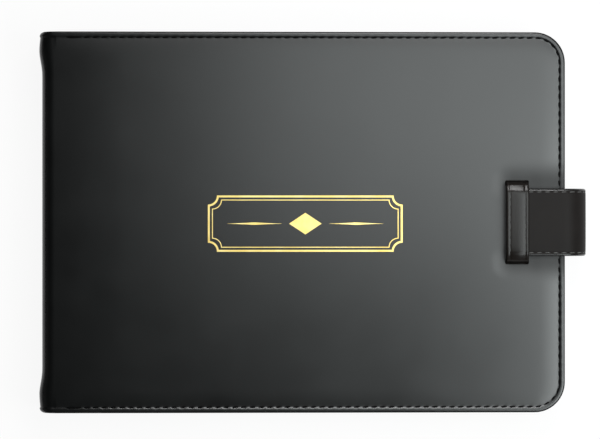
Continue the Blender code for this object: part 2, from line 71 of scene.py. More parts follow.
ALONG = 0.9  # cosine past which a direction counts as along an axis
QUARTER = math.pi / 2
UPRIGHT = Vector((0.0, 0.0, 1.0))
SHEET_T = 0.11 * MM  # one log sheet
LOG = logging.getLogger("logbook")

Piece = bpy.types.Object
Node, Tree = bpy.types.Node, bpy.types.NodeTree
Socket, Sockets = bpy.types.NodeSocket, bpy.types.NodeOutputs
Inputs = dict[str | int, object]
Wiring = Callable[[Tree, Sockets], tuple[Socket, ...]]
Test = Callable[[Vector, Vector], bool]
Move = Callable[[Vector], Vector]
Pair = tuple[float, float]
Triple = tuple[float, float, float]
Colour = tuple[float, float, float]
Opening = tuple[Vector, Vector]


class Kind(Enum):
    """What a selection picks."""

    VERTS = "VERT"
    EDGES = "EDGE"
    FACES = "FACE"


class Side(Enum):
    """Which cover a piece belongs to."""

    FRONT = "front"
    BACK = "back"

    @property
    def body(self) -> str:
        """The body that carries the cover."""
        return f"{self.value}_cover"

    @property
    def boards(self) -> list[str]:
        """The boards that the cover's sheets are drawn over."""
        return ["front_board", "spine_board"] if self is Side.FRONT else ["back_board"]


class Face(Enum):
    """Which face of a panel a row of stitches shows on."""

    OUTER = "outer"
    INNER = "inner"


def ease(share: float) -> float:
    """Ease a share from 0 to 1 gently in and out."""
    share = min(1.0, max(0.0, share))
    return share * share * (3.0 - 2.0 * share)


def mirrored(half: Sequence[Pair]) -> list[Pair]:
    """Half a section that ends in its middle, followed by its mirror image."""
    return [*half, *((-a, b) for a, b in half[-2::-1])]


def directions(points: Sequence[Vector]) -> list[Vector]:
    """The direction of a line at each of its points."""
    ends = [points[0], *points, points[-1]]
    return [(after - before).normalized() for before, after in zip(ends, ends[2:])]


def joint_at(name: str) -> Vector:
    """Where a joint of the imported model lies."""
    return next(Vector(joint["pos_m"]) for joint in frame["joints"] if joint["name"] == name)


def lean_of(node: str) -> float:
    """How far a node's upper face leans down along X.

    Args:
        node: The node's name.

    Returns:
        The angle in radians.
    """
    up = Vector()
    for face in frame["nodes"][node].data.polygons:
        if face.normal.z > ALONG:
            up += face.normal * face.area
    return math.atan2(up.x, up.z)


def clear_selection() -> None:
    """Leave edit mode and deselect everything."""
    if bpy.context.mode != "OBJECT":
        bpy.ops.object.mode_set(mode="OBJECT")
    bpy.ops.object.select_all(action="DESELECT")


class Bench:
    """One mesh on the workbench, shaped by hand-modelling steps.

    Attributes:
        obj: The mesh object under work.
    """

    def __init__(self, obj: Piece) -> None:
        """Take an object to the bench."""
        self.obj = obj

    @classmethod
    def start(cls, name: str, scale: Sequence[float] = (1.0, 1.0, 1.0)) -> "Bench":
        """Take up the primitive that was just added.

        Args:
            name: The piece's name.
            scale: Size of the unit primitive along each axis.

        Returns:
            The bench that holds it, with its place and size in its mesh.
        """
        bench = cls(bpy.context.object)
        bench.rename(name)
        bench.obj.scale = scale
        bpy.ops.object.transform_apply(location=True, rotation=True, scale=True)
        return bench

    @classmethod
    def plate(cls, name: str, low: Sequence[float], high: Sequence[float], z: float = 0.0) -> "Bench":
        """Add a flat plate to extrude from.

        Args:
            name: The piece's name.
            low: Lowest X and Y.
            high: Highest X and Y.
            z: Its height.

        Returns:
            The bench that holds it.
        """
        clear_selection()
        middle = ((low[0] + high[0]) / 2, (low[1] + high[1]) / 2, z)
        bpy.ops.mesh.primitive_plane_add(size=1.0, location=middle)
        return cls.start(name, (high[0] - low[0], high[1] - low[1], 1.0))

    @classmethod
    def block(cls, name: str, low: Sequence[float], high: Sequence[float],
              bevel: tuple[float, int]) -> "Bench":
        """Add a block between two corners, with its upright edges rounded.

        Args:
            name: The piece's name.
            low: Lowest corner.
            high: Highest corner.
            bevel: The rounding's radius and its segments.

        Returns:
            The bench that holds it.
        """
        clear_selection()
        middle = [(a + b) / 2 for a, b in zip(low, high)]
        bpy.ops.mesh.primitive_cube_add(size=1.0, location=middle)
        bench = cls.start(name, [b - a for a, b in zip(low, high)])
        with bench.edit():
            bench.pick(Kind.EDGES, lambda _, way: abs(way.z) > ALONG)
            bpy.ops.mesh.bevel(offset=bevel[0], segments=bevel[1], affect="EDGES")
        return bench

    @classmethod
    def rod(cls, name: str, middle: Sequence[float], radius: float, length: float, sides: int) -> "Bench":
        """Add an upright round rod.

        Args:
            name: The piece's name.
            middle: Its middle.
            radius: Its radius.
            length: Its height.
            sides: Sides of its outline.

        Returns:
            The bench that holds it.
        """
        clear_selection()
        bpy.ops.mesh.primitive_cylinder_add(vertices=sides, radius=radius, depth=length, location=middle)
        return cls.start(name)

    @classmethod
    def swept(cls, name: str, loops: Sequence[Sequence[Vector]]) -> "Bench":
        """Add a grid and lay its rows on section loops, closed round the section and at both ends.

        Args:
            name: The piece's name.
            loops: The section at each station, all with the same number of points.

        Returns:
            The bench that holds the closed sweep.
        """
        clear_selection()
        around, along = len(loops[0]), len(loops) - 1
        bpy.ops.mesh.primitive_grid_add(x_subdivisions=around, y_subdivisions=along, size=1.0)
        bench = cls.start(name)
        points = [point for loop in loops for point in (*loop, loop[0])]
        for vertex, point in zip(bench.obj.data.vertices, points):
            vertex.co = point
        with bench.edit():
            bench.pick_all()
            bpy.ops.mesh.remove_doubles(threshold=MERGE)
            bench.pick_all()
            bpy.ops.mesh.fill_holes(sides=0)
            bench.face_outwards()
        return bench

    @classmethod
    def joined(cls, name: str, benches: Sequence["Bench"]) -> "Bench":
        """Join several pieces into one.

        Args:
            name: The joined piece's name.
            benches: The pieces, of which the first takes up the rest.

        Returns:
            The bench that holds them all.
        """
        benches[0].take_up()
        for bench in benches[1:]:
            bench.obj.select_set(True)
        bpy.ops.object.join()
        benches[0].rename(name)
        return benches[0]

    def rename(self, name: str) -> None:
        """Name the piece and its mesh."""
        self.obj.name = self.obj.data.name = name

    def copy(self, name: str) -> "Bench":
        """Copy the piece with a mesh of its own.

        Args:
            name: The copy's name.

        Returns:
            The bench that holds the copy.
        """
        twin = Bench(self.obj.copy())
        twin.obj.data = self.obj.data.copy()
        twin.rename(name)
        bpy.context.scene.collection.objects.link(twin.obj)
        return twin

    def take_up(self) -> None:
        """Make this the one selected and active object."""
        clear_selection()
        self.obj.select_set(True)
        bpy.context.view_layer.objects.active = self.obj

    @contextmanager
    def edit(self) -> Iterator[None]:
        """Hold the mesh in edit mode."""
        self.take_up()
        bpy.ops.object.mode_set(mode="EDIT")
        yield
        bpy.ops.object.mode_set(mode="OBJECT")

    def pick(self, kind: Kind, test: Test, rim: bool = False) -> None:
        """Select by place and direction, in edit mode.

        Args:
            kind: What to select.
            test: Given the middle and the normal (an edge's direction), whether it is selected.
            rim: Whether only edges of one face count.
        """
        bpy.ops.mesh.select_mode(type=kind.value)
        bpy.ops.mesh.select_all(action="DESELECT")
        mesh = bmesh.from_edit_mesh(self.obj.data)
        if kind is Kind.VERTS:
            found = [(vert, vert.co, vert.normal) for vert in mesh.verts]
        elif kind is Kind.EDGES:
            ends = [(edge, edge.verts[0].co, edge.verts[1].co) for edge in mesh.edges]
            found = [(edge, (a + b) / 2, (b - a).normalized()) for edge, a, b in ends]
        else:
            found = [(face, face.calc_center_median(), face.normal) for face in mesh.faces]
        for element, place, facing in found:
            if test(place, facing) and (not rim or element.is_boundary):
                element.select_set(True)
        bmesh.update_edit_mesh(self.obj.data)

    @staticmethod
    def pick_all(kind: Kind | None = None) -> None:
        """Select everything, in edit mode.

        Args:
            kind: What to select from now on, if that changes.
        """
        if kind:
            bpy.ops.mesh.select_mode(type=kind.value)
        bpy.ops.mesh.select_all(action="SELECT")

    def divide(self, test: Test, *counts: int, rim: bool = False) -> None:
        """Put points into chosen edges, in edit mode.

        Args:
            test: Given an edge's middle and direction, whether it is divided.
            counts: How many points go into each edge, pass by pass.
            rim: Whether only edges of one face count.
        """
        for count in counts:
            self.pick(Kind.EDGES, test, rim)
            bpy.ops.mesh.subdivide(number_cuts=count)

    @staticmethod
    def slice_at(axis: int, place: float, clear: bool = False) -> None:
        """Cut the selection by a plane across an axis, in edit mode.

        Args:
            axis: The axis, 0 for X and 1 for Y.
            place: Where on it the plane stands.
            clear: Whether what lies before the plane goes.
        """
        where, facing = Vector(), Vector()
        where[axis], facing[axis] = place, 1.0
        bpy.ops.mesh.bisect(plane_co=where, plane_no=facing, clear_inner=clear, threshold=MERGE)

    @staticmethod
    def lift(x: float, y: float, z: float) -> None:
        """Extrude the selection by an offset, in edit mode."""
        bpy.ops.mesh.extrude_region_move(TRANSFORM_OT_translate={"value": (x, y, z)})

    def face_outwards(self) -> None:
        """Turn all normals outwards, in edit mode."""
        self.pick_all()
        bpy.ops.mesh.normals_make_consistent(inside=False)

    def turn_over(self) -> None:
        """Turn every face round."""
        with self.edit():
            self.pick_all()
            bpy.ops.mesh.flip_normals()

    def face_up(self) -> None:
        """Turn every face round if the largest looks down."""
        if max(self.obj.data.polygons, key=lambda face: face.area).normal.z < 0:
            self.turn_over()

    def modifier(self, kind: str, **settings: object) -> None:
        """Add a modifier and apply it.

        Args:
            kind: The modifier's type.
            settings: Its settings.
        """
        self.take_up()
        item = self.obj.modifiers.new(kind.lower(), kind)
        for key, value in settings.items():
            setattr(item, key, value)
        bpy.ops.object.modifier_apply(modifier=item.name)

    def cut(self, cutter: "Bench") -> None:
        """Take a cutter's shape away and discard the cutter."""
        self.modifier("BOOLEAN", object=cutter.obj, operation="DIFFERENCE", solver="EXACT")
        bpy.data.objects.remove(cutter.obj)

    def split_wide_faces(self) -> None:
        """Split faces of more than four sides into well-shaped triangles."""
        self.modifier("TRIANGULATE", ngon_method="BEAUTY", min_vertices=5)

    def reshape(self, move: Move) -> None:
        """Move every point of the mesh.

        Args:
            move: Given a point, where it goes.
        """
        for vertex in self.obj.data.vertices:
            vertex.co = move(vertex.co.copy())
        self.obj.data.update()

    def smooth(self, angle: float) -> None:
        """Shade smooth, with edges sharper than an angle in degrees kept."""
        self.take_up()
        bpy.ops.object.shade_smooth_by_angle(angle=math.radians(angle))

    def faces(self, test: Callable[[bpy.types.MeshPolygon], bool]) -> list[int]:
        """Which of the mesh's faces pass a test."""
        return [face.index for face in self.obj.data.polygons if test(face)]


@dataclass(frozen=True)
class Rides:
    """A piece that moves with one body."""

    body: str

    def attach(self, obj: Piece) -> None:
        """Put the piece on its body."""
        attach(obj, self.body)


@dataclass(frozen=True)
class Bends:
    """A piece that crosses one joint and turns smoothly from one body to the next."""

    first: str
    second: str
    start: Triple
    end: Triple

    def attach(self, obj: Piece) -> None:
        """Bake the piece's transform into its mesh; it is put on no body."""
        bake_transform(obj)

    def share(self, at: Vector) -> float:
        """How far a point has gone over to the second body."""
        start, way = Vector(self.start), Vector(self.end) - Vector(self.start)
        return ease((at - start).dot(way) / way.length_squared)


Carrier = Rides | Bends


def fill_inputs(tree: Tree, node: Node, inputs: Inputs) -> None:
    """Give a shader node what it reads.

    Args:
        tree: The tree it is in.
        node: The node.
        inputs: What its inputs get: another node's output, or a value.
    """
    for key, value in inputs.items():
        if isinstance(value, Socket):
            tree.links.new(value, node.inputs[key])
        else:
            node.inputs[key].default_value = value


def add_node(tree: Tree, kind: str, inputs: Inputs | None = None, **settings: object) -> Node:
    """Add a shader node.

    Args:
        tree: The tree it goes into.
        kind: Its type, without the leading word that all have.
        inputs: What its inputs get.
        settings: Its own settings.

    Returns:
        The node.
    """
    node = tree.nodes.new(f"ShaderNode{kind}")
    for key, value in settings.items():
        setattr(node, key, value)
    fill_inputs(tree, node, inputs or {})
    return node


@dataclass(frozen=True)
class Effect:
    """A shader node group that finishes share, built once."""

    name: str
    values: tuple[str, ...]
    outputs: tuple[str, ...]
    wire: Wiring

    def group(self) -> Tree:
        """Make the group with its named sockets, or return it if it is made.

        Returns:
            The group, which reads a Vector beside its own values.
        """
        if self.name in bpy.data.node_groups:
            return bpy.data.node_groups[self.name]
        tree = bpy.data.node_groups.new(self.name, "ShaderNodeTree")
        tree.interface.new_socket("Vector", in_out="INPUT", socket_type="NodeSocketVector")
        for way, labels in (("INPUT", self.values), ("OUTPUT", self.outputs)):
            for label in labels:
                tree.interface.new_socket(label, in_out=way, socket_type="NodeSocketFloat")
        given, put = tree.nodes.new("NodeGroupInput"), tree.nodes.new("NodeGroupOutput")
        for label, source in zip(self.outputs, self.wire(tree, given.outputs)):
            tree.links.new(source, put.inputs[label])
        return tree


def wire_grain(tree: Tree, given: Sockets) -> tuple[Socket, ...]:
    """Wire pebbled hide grain: small rounded cells parted by creases, uneven over the skin.

    Args:
        tree: The group's tree.
        given: Its inputs.

    Returns:
        The grain's height and the patches it varies by.
    """
    at = given["Vector"]
    drift = add_node(tree, "TexNoise", {"Vector": at, "Scale": 700.0, "Detail": 2.0}).outputs["Color"]
    drifted = add_node(tree, "VectorMath", {0: drift, 1: (0.4 * MM, 0.4 * MM, 0.4 * MM), 2: at},
                       operation="MULTIPLY_ADD").outputs["Vector"]
    cells = add_node(tree, "TexVoronoi", {"Vector": drifted, "Scale": given["Cells"]}, feature="F1")
    inwards = {"Value": cells.outputs["Distance"], "From Min": 0.15, "From Max": 0.75,
               "To Min": 1.0, "To Max": 0.0}
    dome = add_node(tree, "MapRange", inwards).outputs["Result"]
    patch = add_node(tree, "TexNoise", {"Vector": at, "Scale": given["Patches"], "Detail": 4.0,
                                        "Roughness": 0.6}).outputs["Fac"]
    return add_node(tree, "Math", {0: dome, 1: patch}, operation="MULTIPLY").outputs["Value"], patch


def wire_weave(tree: Tree, given: Sockets) -> tuple[Socket, ...]:
    """Wire a plain weave: crossing threads that pass over and under each other.

    Args:
        tree: The group's tree.
        given: Its inputs.

    Returns:
        The weave's height and its fuzz.
    """
    at = given["Vector"]
    wave = {"Vector": at, "Scale": given["Threads"], "Distortion": 0.6, "Detail": 1.0}
    warp, weft = (add_node(tree, "TexWave", wave, wave_type="BANDS", bands_direction=way).outputs["Fac"]
                  for way in "XY")
    fuzz = add_node(tree, "TexNoise", {"Vector": at, "Scale": 160.0, "Detail": 5.0}).outputs["Fac"]
    return add_node(tree, "Math", {0: warp, 1: weft}, operation="MULTIPLY").outputs["Value"], fuzz


def wire_streaks(tree: Tree, given: Sockets) -> tuple[Socket, ...]:
    """Wire fine streaks one way with blotches, as on drawn wire, foil, thread and paper pulp.

    Args:
        tree: The group's tree.
        given: Its inputs.

    Returns:
        The streaks and the blotches.
    """
    at = given["Vector"]
    drawn = add_node(tree, "Mapping", {"Vector": at, "Scale": (1.0, 0.06, 1.0)}).outputs["Vector"]
    streak = add_node(tree, "TexNoise", {"Vector": drawn, "Scale": given["Fineness"], "Detail": 3.0})
    blotch = add_node(tree, "TexNoise", {"Vector": at, "Scale": given["Blotches"], "Detail": 4.0})
    return streak.outputs["Fac"], blotch.outputs["Fac"]


def wire_lines(tree: Tree, given: Sockets) -> tuple[Socket, ...]:
    """Wire fine level lines, as on the cut edges of a stack of paper.

    Args:
        tree: The group's tree.
        given: Its inputs.

    Returns:
        The lines alone.
    """
    level = add_node(tree, "Mapping", {"Vector": given["Vector"], "Scale": (0.004, 0.004, 1.0)})
    lines = {"Vector": level.outputs["Vector"], "Scale": given["Fineness"], "Detail": 2.0}
    return (add_node(tree, "TexNoise", lines).outputs["Fac"],)


HIDE_GRAIN = Effect("hide_grain", ("Cells", "Patches"), ("Height", "Patch"), wire_grain)
PLAIN_WEAVE = Effect("plain_weave", ("Threads",), ("Height", "Fuzz"), wire_weave)
FINE_STREAKS = Effect("fine_streaks", ("Fineness", "Blotches"), ("Streak", "Blotch"), wire_streaks)
SHEET_LINES = Effect("sheet_lines", ("Fineness",), ("Line",), wire_lines)


class Shader:
    """A node material under construction.

    Attributes:
        material: The material.
        tree: Its nodes and links.
        surface: Its Principled BSDF.
        output: Its output node.
    """

    def __init__(self, name: str) -> None:
        """Start a material with a bare Principled surface.

        Args:
            name: The material's name.
        """
        self.material = bpy.data.materials.new(name)
        self.material.use_nodes = True
        self.tree = self.material.node_tree
        self.tree.nodes.clear()
        self.surface = self.add("BsdfPrincipled")
        self.output = self.add("OutputMaterial", {"Surface": self.surface.outputs["BSDF"]})

    def add(self, kind: str, inputs: Inputs | None = None, **settings: object) -> Node:
        """Add a node with its inputs and settings."""
        return add_node(self.tree, kind, inputs, **settings)

    def place(self) -> Socket:
        """The point's place on the object."""
        return self.add("TexCoord").outputs["Object"]

    def effect(self, effect: Effect, values: Sequence[float]) -> Sockets:
        """Place a shared effect with its own values, on Object coordinates."""
        inputs = {"Vector": self.place(), **dict(zip(effect.values, values))}
        return self.add("Group", inputs, node_tree=effect.group()).outputs

    def math(self, operation: str, a: Socket, b: Socket | float = 0.0) -> Socket:
        """Combine two values, or change one."""
        return self.add("Math", {0: a, 1: b}, operation=operation).outputs["Value"]

    def span(self, source: Socket, low: float, high: float) -> Socket:
        """Spread a value from 0 to 1 over a new span."""
        return self.add("MapRange", {"Value": source, "To Min": low, "To Max": high}).outputs["Result"]

    def ramp(self, source: Socket, low: tuple[float, Colour], high: tuple[float, Colour]) -> Socket:
        """Turn a value into a colour.

        Args:
            source: The value.
            low: The first stop's position and colour.
            high: The last stop's position and colour.

        Returns:
            The colour.
        """
        node = self.add("ValToRGB", {"Fac": source})
        for element, (place, colour) in zip(node.color_ramp.elements, (low, high)):
            element.position, element.color = place, (*colour, 1.0)
        return node.outputs["Color"]

    def over(self, mask: Socket, below: Socket, colour: Colour) -> Socket:
        """Lay a colour over another where a mask is 1.

        Args:
            mask: The mask.
            below: The colour below.
            colour: The colour laid over it.

        Returns:
            The mixed colour.
        """
        share, first, second, mixed = 0, 6, 7, 2  # the colour sockets among those of one name
        node = self.add("Mix", {share: mask, first: below, second: (*colour, 1.0)}, data_type="RGBA")
        return node.outputs[mixed]

    def near_box(self, middle: Triple, half: Triple, fade: float) -> Socket:
        """How near a point is to a box: 1 inside it and 0 beyond the fade.

        Args:
            middle: The box's middle.
            half: Half its size along each axis.
            fade: How far outside the box the value reaches 0.

        Returns:
            The nearness.
        """
        at, none = self.place(), (0.0, 0.0, 0.0)
        steps = (("SUBTRACT", middle), ("ABSOLUTE", none), ("SUBTRACT", half), ("MAXIMUM", none))
        for operation, value in steps:
            at = self.add("VectorMath", {0: at, 1: value}, operation=operation).outputs["Vector"]
        away = self.add("VectorMath", {0: at}, operation="LENGTH").outputs["Value"]
        spread = {"Value": away, "From Min": fade, "From Max": 0.0, "To Min": 0.0, "To Max": 1.0}
        return self.add("MapRange", spread, interpolation_type="SMOOTHSTEP").outputs["Result"]


@dataclass(frozen=True)
class Stuff:
    """How a kind of material shows: its effect, and which of the effect's outputs drive what."""

    effect: Effect
    values: tuple[float, ...]
    tint_by: tuple[str, ...]
    stops: Pair
    rough_by: str
    height_by: str
    relief: float
    depth: float


@dataclass(frozen=True)
class Finish:
    """What a piece is made of, its colours and its roughness, duller where it is rubbed."""

    name: str
    slot: str | None
    stuff: Stuff
    dark: Colour
    light: Colour
    rough: Pair
    gloss: float = 0.5
    metal: float = 0.0
    sheen: float = 0.0
    rubbed: tuple[Triple, Triple] | None = None
    rubbed_fade: float = 12.0 * MM
    rubbed_dull: float = 0.31

    def material(self) -> bpy.types.Material:
        """Make the material, or return it if it is made.

        Returns:
            The material.
        """
        if self.name in bpy.data.materials:
            return bpy.data.materials[self.name]
        stuff, shader = self.stuff, Shader(self.name)
        shown = shader.effect(stuff.effect, stuff.values)
        roughness = shader.span(shown[stuff.rough_by], *self.rough)
        if self.rubbed:
            near = shader.near_box(*self.rubbed, self.rubbed_fade)
            roughness = shader.math("ADD", roughness, shader.span(near, 0.0, self.rubbed_dull))
        height = {"Height": shown[stuff.height_by], "Strength": stuff.relief, "Distance": stuff.depth}
        fill_inputs(shader.tree, shader.surface, {
            "Base Color": self.tone(shader, shown), "Roughness": roughness,
            "Normal": shader.add("Bump", height).outputs["Normal"],
            "Specular IOR Level": self.gloss, "Metallic": self.metal, "Sheen Weight": self.sheen})
        return shader.material

    def tone(self, shader: Shader, shown: Sockets) -> Socket:
        """Tint the surface by its effect.

        Args:
            shader: The material under construction.
            shown: The effect's outputs.

        Returns:
            The colour.
        """
        shade, *others = (shown[label] for label in self.stuff.tint_by)
        for other in others:
            shade = shader.math("MULTIPLY", shade, other)
        low, high = self.stuff.stops
        return shader.ramp(shade, (low, self.dark), (high, self.light))


@dataclass(frozen=True)
class LogPaper(Finish):
    """Ruled paper of log sheets: rows, columns and a tinted head band, with no lettering."""

    ink: Colour = (0.20, 0.33, 0.29)
    band: Colour = (0.60, 0.68, 0.60)
    row_pitch: float = 6.0 * MM
    column_pitch: float = 12.0 * MM
    columns: int = 4
    fine_rule: float = 0.22 * MM
    bold_rule: float = 0.6 * MM
    half_width: float = 96.0 * MM
    half_height: float = 66.0 * MM
    middle_x: float = 6.0 * MM
    band_y: float = 54.0 * MM

    @staticmethod
    def rule(shader: Shader, run: Socket, pitch: float, width: float) -> Socket:
        """Rules at a pitch along a run.

        Args:
            shader: The material under construction.
            run: Distance along the sheet.
            pitch: Distance between rules.
            width: Each rule's width.

        Returns:
            1 on a rule and 0 between them.
        """
        part = shader.math("FRACT", shader.math("DIVIDE", run, pitch))
        off = shader.math("ABSOLUTE", shader.math("SUBTRACT", part, 0.5))
        return shader.math("LESS_THAN", off, width / pitch / 2)

    def tone(self, shader: Shader, shown: Sockets) -> Socket:
        """Tint the paper, its head band and its rules.

        Args:
            shader: The material under construction.
            shown: The effect's outputs.

        Returns:
            The colour.
        """
        axes = shader.add("SeparateXYZ", {"Vector": shader.place()}).outputs
        x, y = shader.math("SUBTRACT", axes["X"], self.middle_x), axes["Y"]
        rules = self.rule(shader, y, self.row_pitch, self.fine_rule)
        for group, width in ((1, self.fine_rule), (self.columns, self.bold_rule)):
            rules = shader.math("MAXIMUM", rules, self.rule(shader, x, group * self.column_pitch, width))
        inside = shader.math("MULTIPLY", *(shader.math("LESS_THAN", shader.math("ABSOLUTE", run), half)
                                           for run, half in ((x, self.half_width), (y, self.half_height))))
        head = shader.math("MULTIPLY", inside, shader.math("GREATER_THAN", y, self.band_y))
        tone = shader.over(head, super().tone(shader, shown), self.band)
        return shader.over(shader.math("MULTIPLY", rules, inside), tone, self.ink)


HIDE = Stuff(HIDE_GRAIN, (1700.0, 38.0), tint_by=("Patch",), stops=(0.3, 0.7), rough_by="Patch",
             height_by="Height", relief=0.3, depth=0.02 * MM)
TWIST = Stuff(FINE_STREAKS, (4200.0, 300.0), tint_by=("Streak",), stops=(0.35, 0.65), rough_by="Blotch",
              height_by="Streak", relief=0.4, depth=0.1 * MM)
CLOTH = Stuff(PLAIN_WEAVE, (950.0,), tint_by=("Height", "Fuzz"), stops=(0.0, 0.5), rough_by="Fuzz",
              height_by="Height", relief=0.5, depth=0.12 * MM)
BOARD = Stuff(FINE_STREAKS, (700.0, 1600.0), tint_by=("Streak", "Blotch"), stops=(0.1, 0.45),
              rough_by="Blotch", height_by="Blotch", relief=0.3, depth=0.1 * MM)
PLATING = Stuff(FINE_STREAKS, (900.0, 120.0), tint_by=("Blotch",), stops=(0.3, 0.7), rough_by="Streak",
                height_by="Streak", relief=0.15, depth=0.02 * MM)
GILDING = replace(PLATING, values=(1400.0, 120.0))
PAPER = Stuff(FINE_STREAKS, (1500.0, 500.0), tint_by=("Blotch",), stops=(0.3, 0.7), rough_by="Streak",
              height_by="Blotch", relief=0.15, depth=0.05 * MM)
CUT_PAPER = Stuff(SHEET_LINES, (1.0 / SHEET_T,), tint_by=("Line",), stops=(0.36, 0.56), rough_by="Line",
                  height_by="Line", relief=0.5, depth=0.08 * MM)

COVER_LEATHER = Finish("cover_leatherette", "leatherette", HIDE, (0.0012, 0.0014, 0.0014),
                       (0.0026, 0.0029, 0.0029), rough=(0.27, 0.34), gloss=0.59)
FRONT_LEATHER = replace(COVER_LEATHER, name="front_leatherette",
                        rubbed=((0.1100, 0.0005, 0.022), (0.0120, 0.0180, 0.010)))
EDGE_LEATHER = Finish("edge_leatherette", "leatherette", HIDE, (0.002, 0.002, 0.002), (0.004, 0.004, 0.004),
                      rough=(0.7, 0.85), gloss=0.12)
KEEPER_LEATHER = Finish("keeper_leatherette", "leatherette", HIDE, (0.0075, 0.0062, 0.0055),
                        (0.0125, 0.0102, 0.0092), rough=(0.17, 0.22), gloss=0.19)
STRAP_LEATHER = Finish("strap_leatherette", "strap_leather", HIDE, (0.0070, 0.0058, 0.0054),
                       (0.0118, 0.0098, 0.0091), rough=(0.46, 0.58), gloss=0.095)
STRAP_EDGE = Finish("strap_edge_paint", "strap_leather", HIDE, (0.0050, 0.0048, 0.0047),
                    (0.0090, 0.0085, 0.0083), rough=(0.22, 0.30), gloss=0.6)
DARK_THREAD = Finish("black_thread", "leatherette", TWIST, (0.0015, 0.0015, 0.0015), (0.004, 0.004, 0.004),
                     rough=(0.6, 0.85), gloss=0.04)
STRAP_THREAD = Finish("grey_thread", "strap_leather", TWIST, (0.035, 0.0345, 0.034), (0.115, 0.113, 0.110),
                      rough=(0.6, 0.85), gloss=0.2)
KEEPER_THREAD = Finish("dark_grey_thread", "leatherette", TWIST, (0.02, 0.02, 0.02), (0.08, 0.079, 0.078),
                       rough=(0.6, 0.85), gloss=0.2)
LINING = Finish("charcoal_lining", "lining", CLOTH, (0.012, 0.012, 0.013), (0.040, 0.040, 0.043),
                rough=(0.7, 0.95), sheen=0.15)
GREY_BOARD = Finish("pressed_grey_board", "board", BOARD, (0.20, 0.19, 0.17), (0.40, 0.38, 0.35),
                    rough=(0.8, 0.95))
STEEL = Finish("nickel_plate", "steel", PLATING, (0.56, 0.56, 0.55), (0.70, 0.69, 0.67), rough=(0.16, 0.30),
               metal=1.0)
FOIL = Finish("gilt_foil", None, GILDING, (0.80, 0.58, 0.17), (0.95, 0.76, 0.32), rough=(0.38, 0.55),
              metal=1.0)
LOG_PAPER = LogPaper("ruled_log_paper", "paper", PAPER, (0.66, 0.64, 0.57), (0.72, 0.70, 0.63),
                     rough=(0.75, 0.95))
SHEET_EDGES = Finish("cut_sheet_edges", "paper", CUT_PAPER, (0.42, 0.41, 0.37), (0.76, 0.74, 0.66),
                     rough=(0.95, 0.8))


def hand_over(bench: Bench, finish: Finish, carrier: Carrier, stands_for: Sequence[str] = (),
              second: Finish | None = None, chosen: Sequence[int] = ()) -> Piece:
    """Finish a piece: material, body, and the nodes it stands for.

    Args:
        bench: The finished shape.
        finish: What it is made of.
        carrier: The body or bodies that it follows.
        stands_for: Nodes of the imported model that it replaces.
        second: What some of its faces are made of.
        chosen: Those faces.

    Returns:
        The piece.
    """
    obj = bench.obj
    obj.data.materials.clear()
    for used in (finish, second):
        if used:
            obj.data.materials.append(used.material())
    for index in chosen:
        obj.data.polygons[index].material_index = 1
    carrier.attach(obj)
    if stands_for:
        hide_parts(*stands_for)
    LOG.info("%s: %d faces", obj.name, len(obj.data.polygons))
    return obj


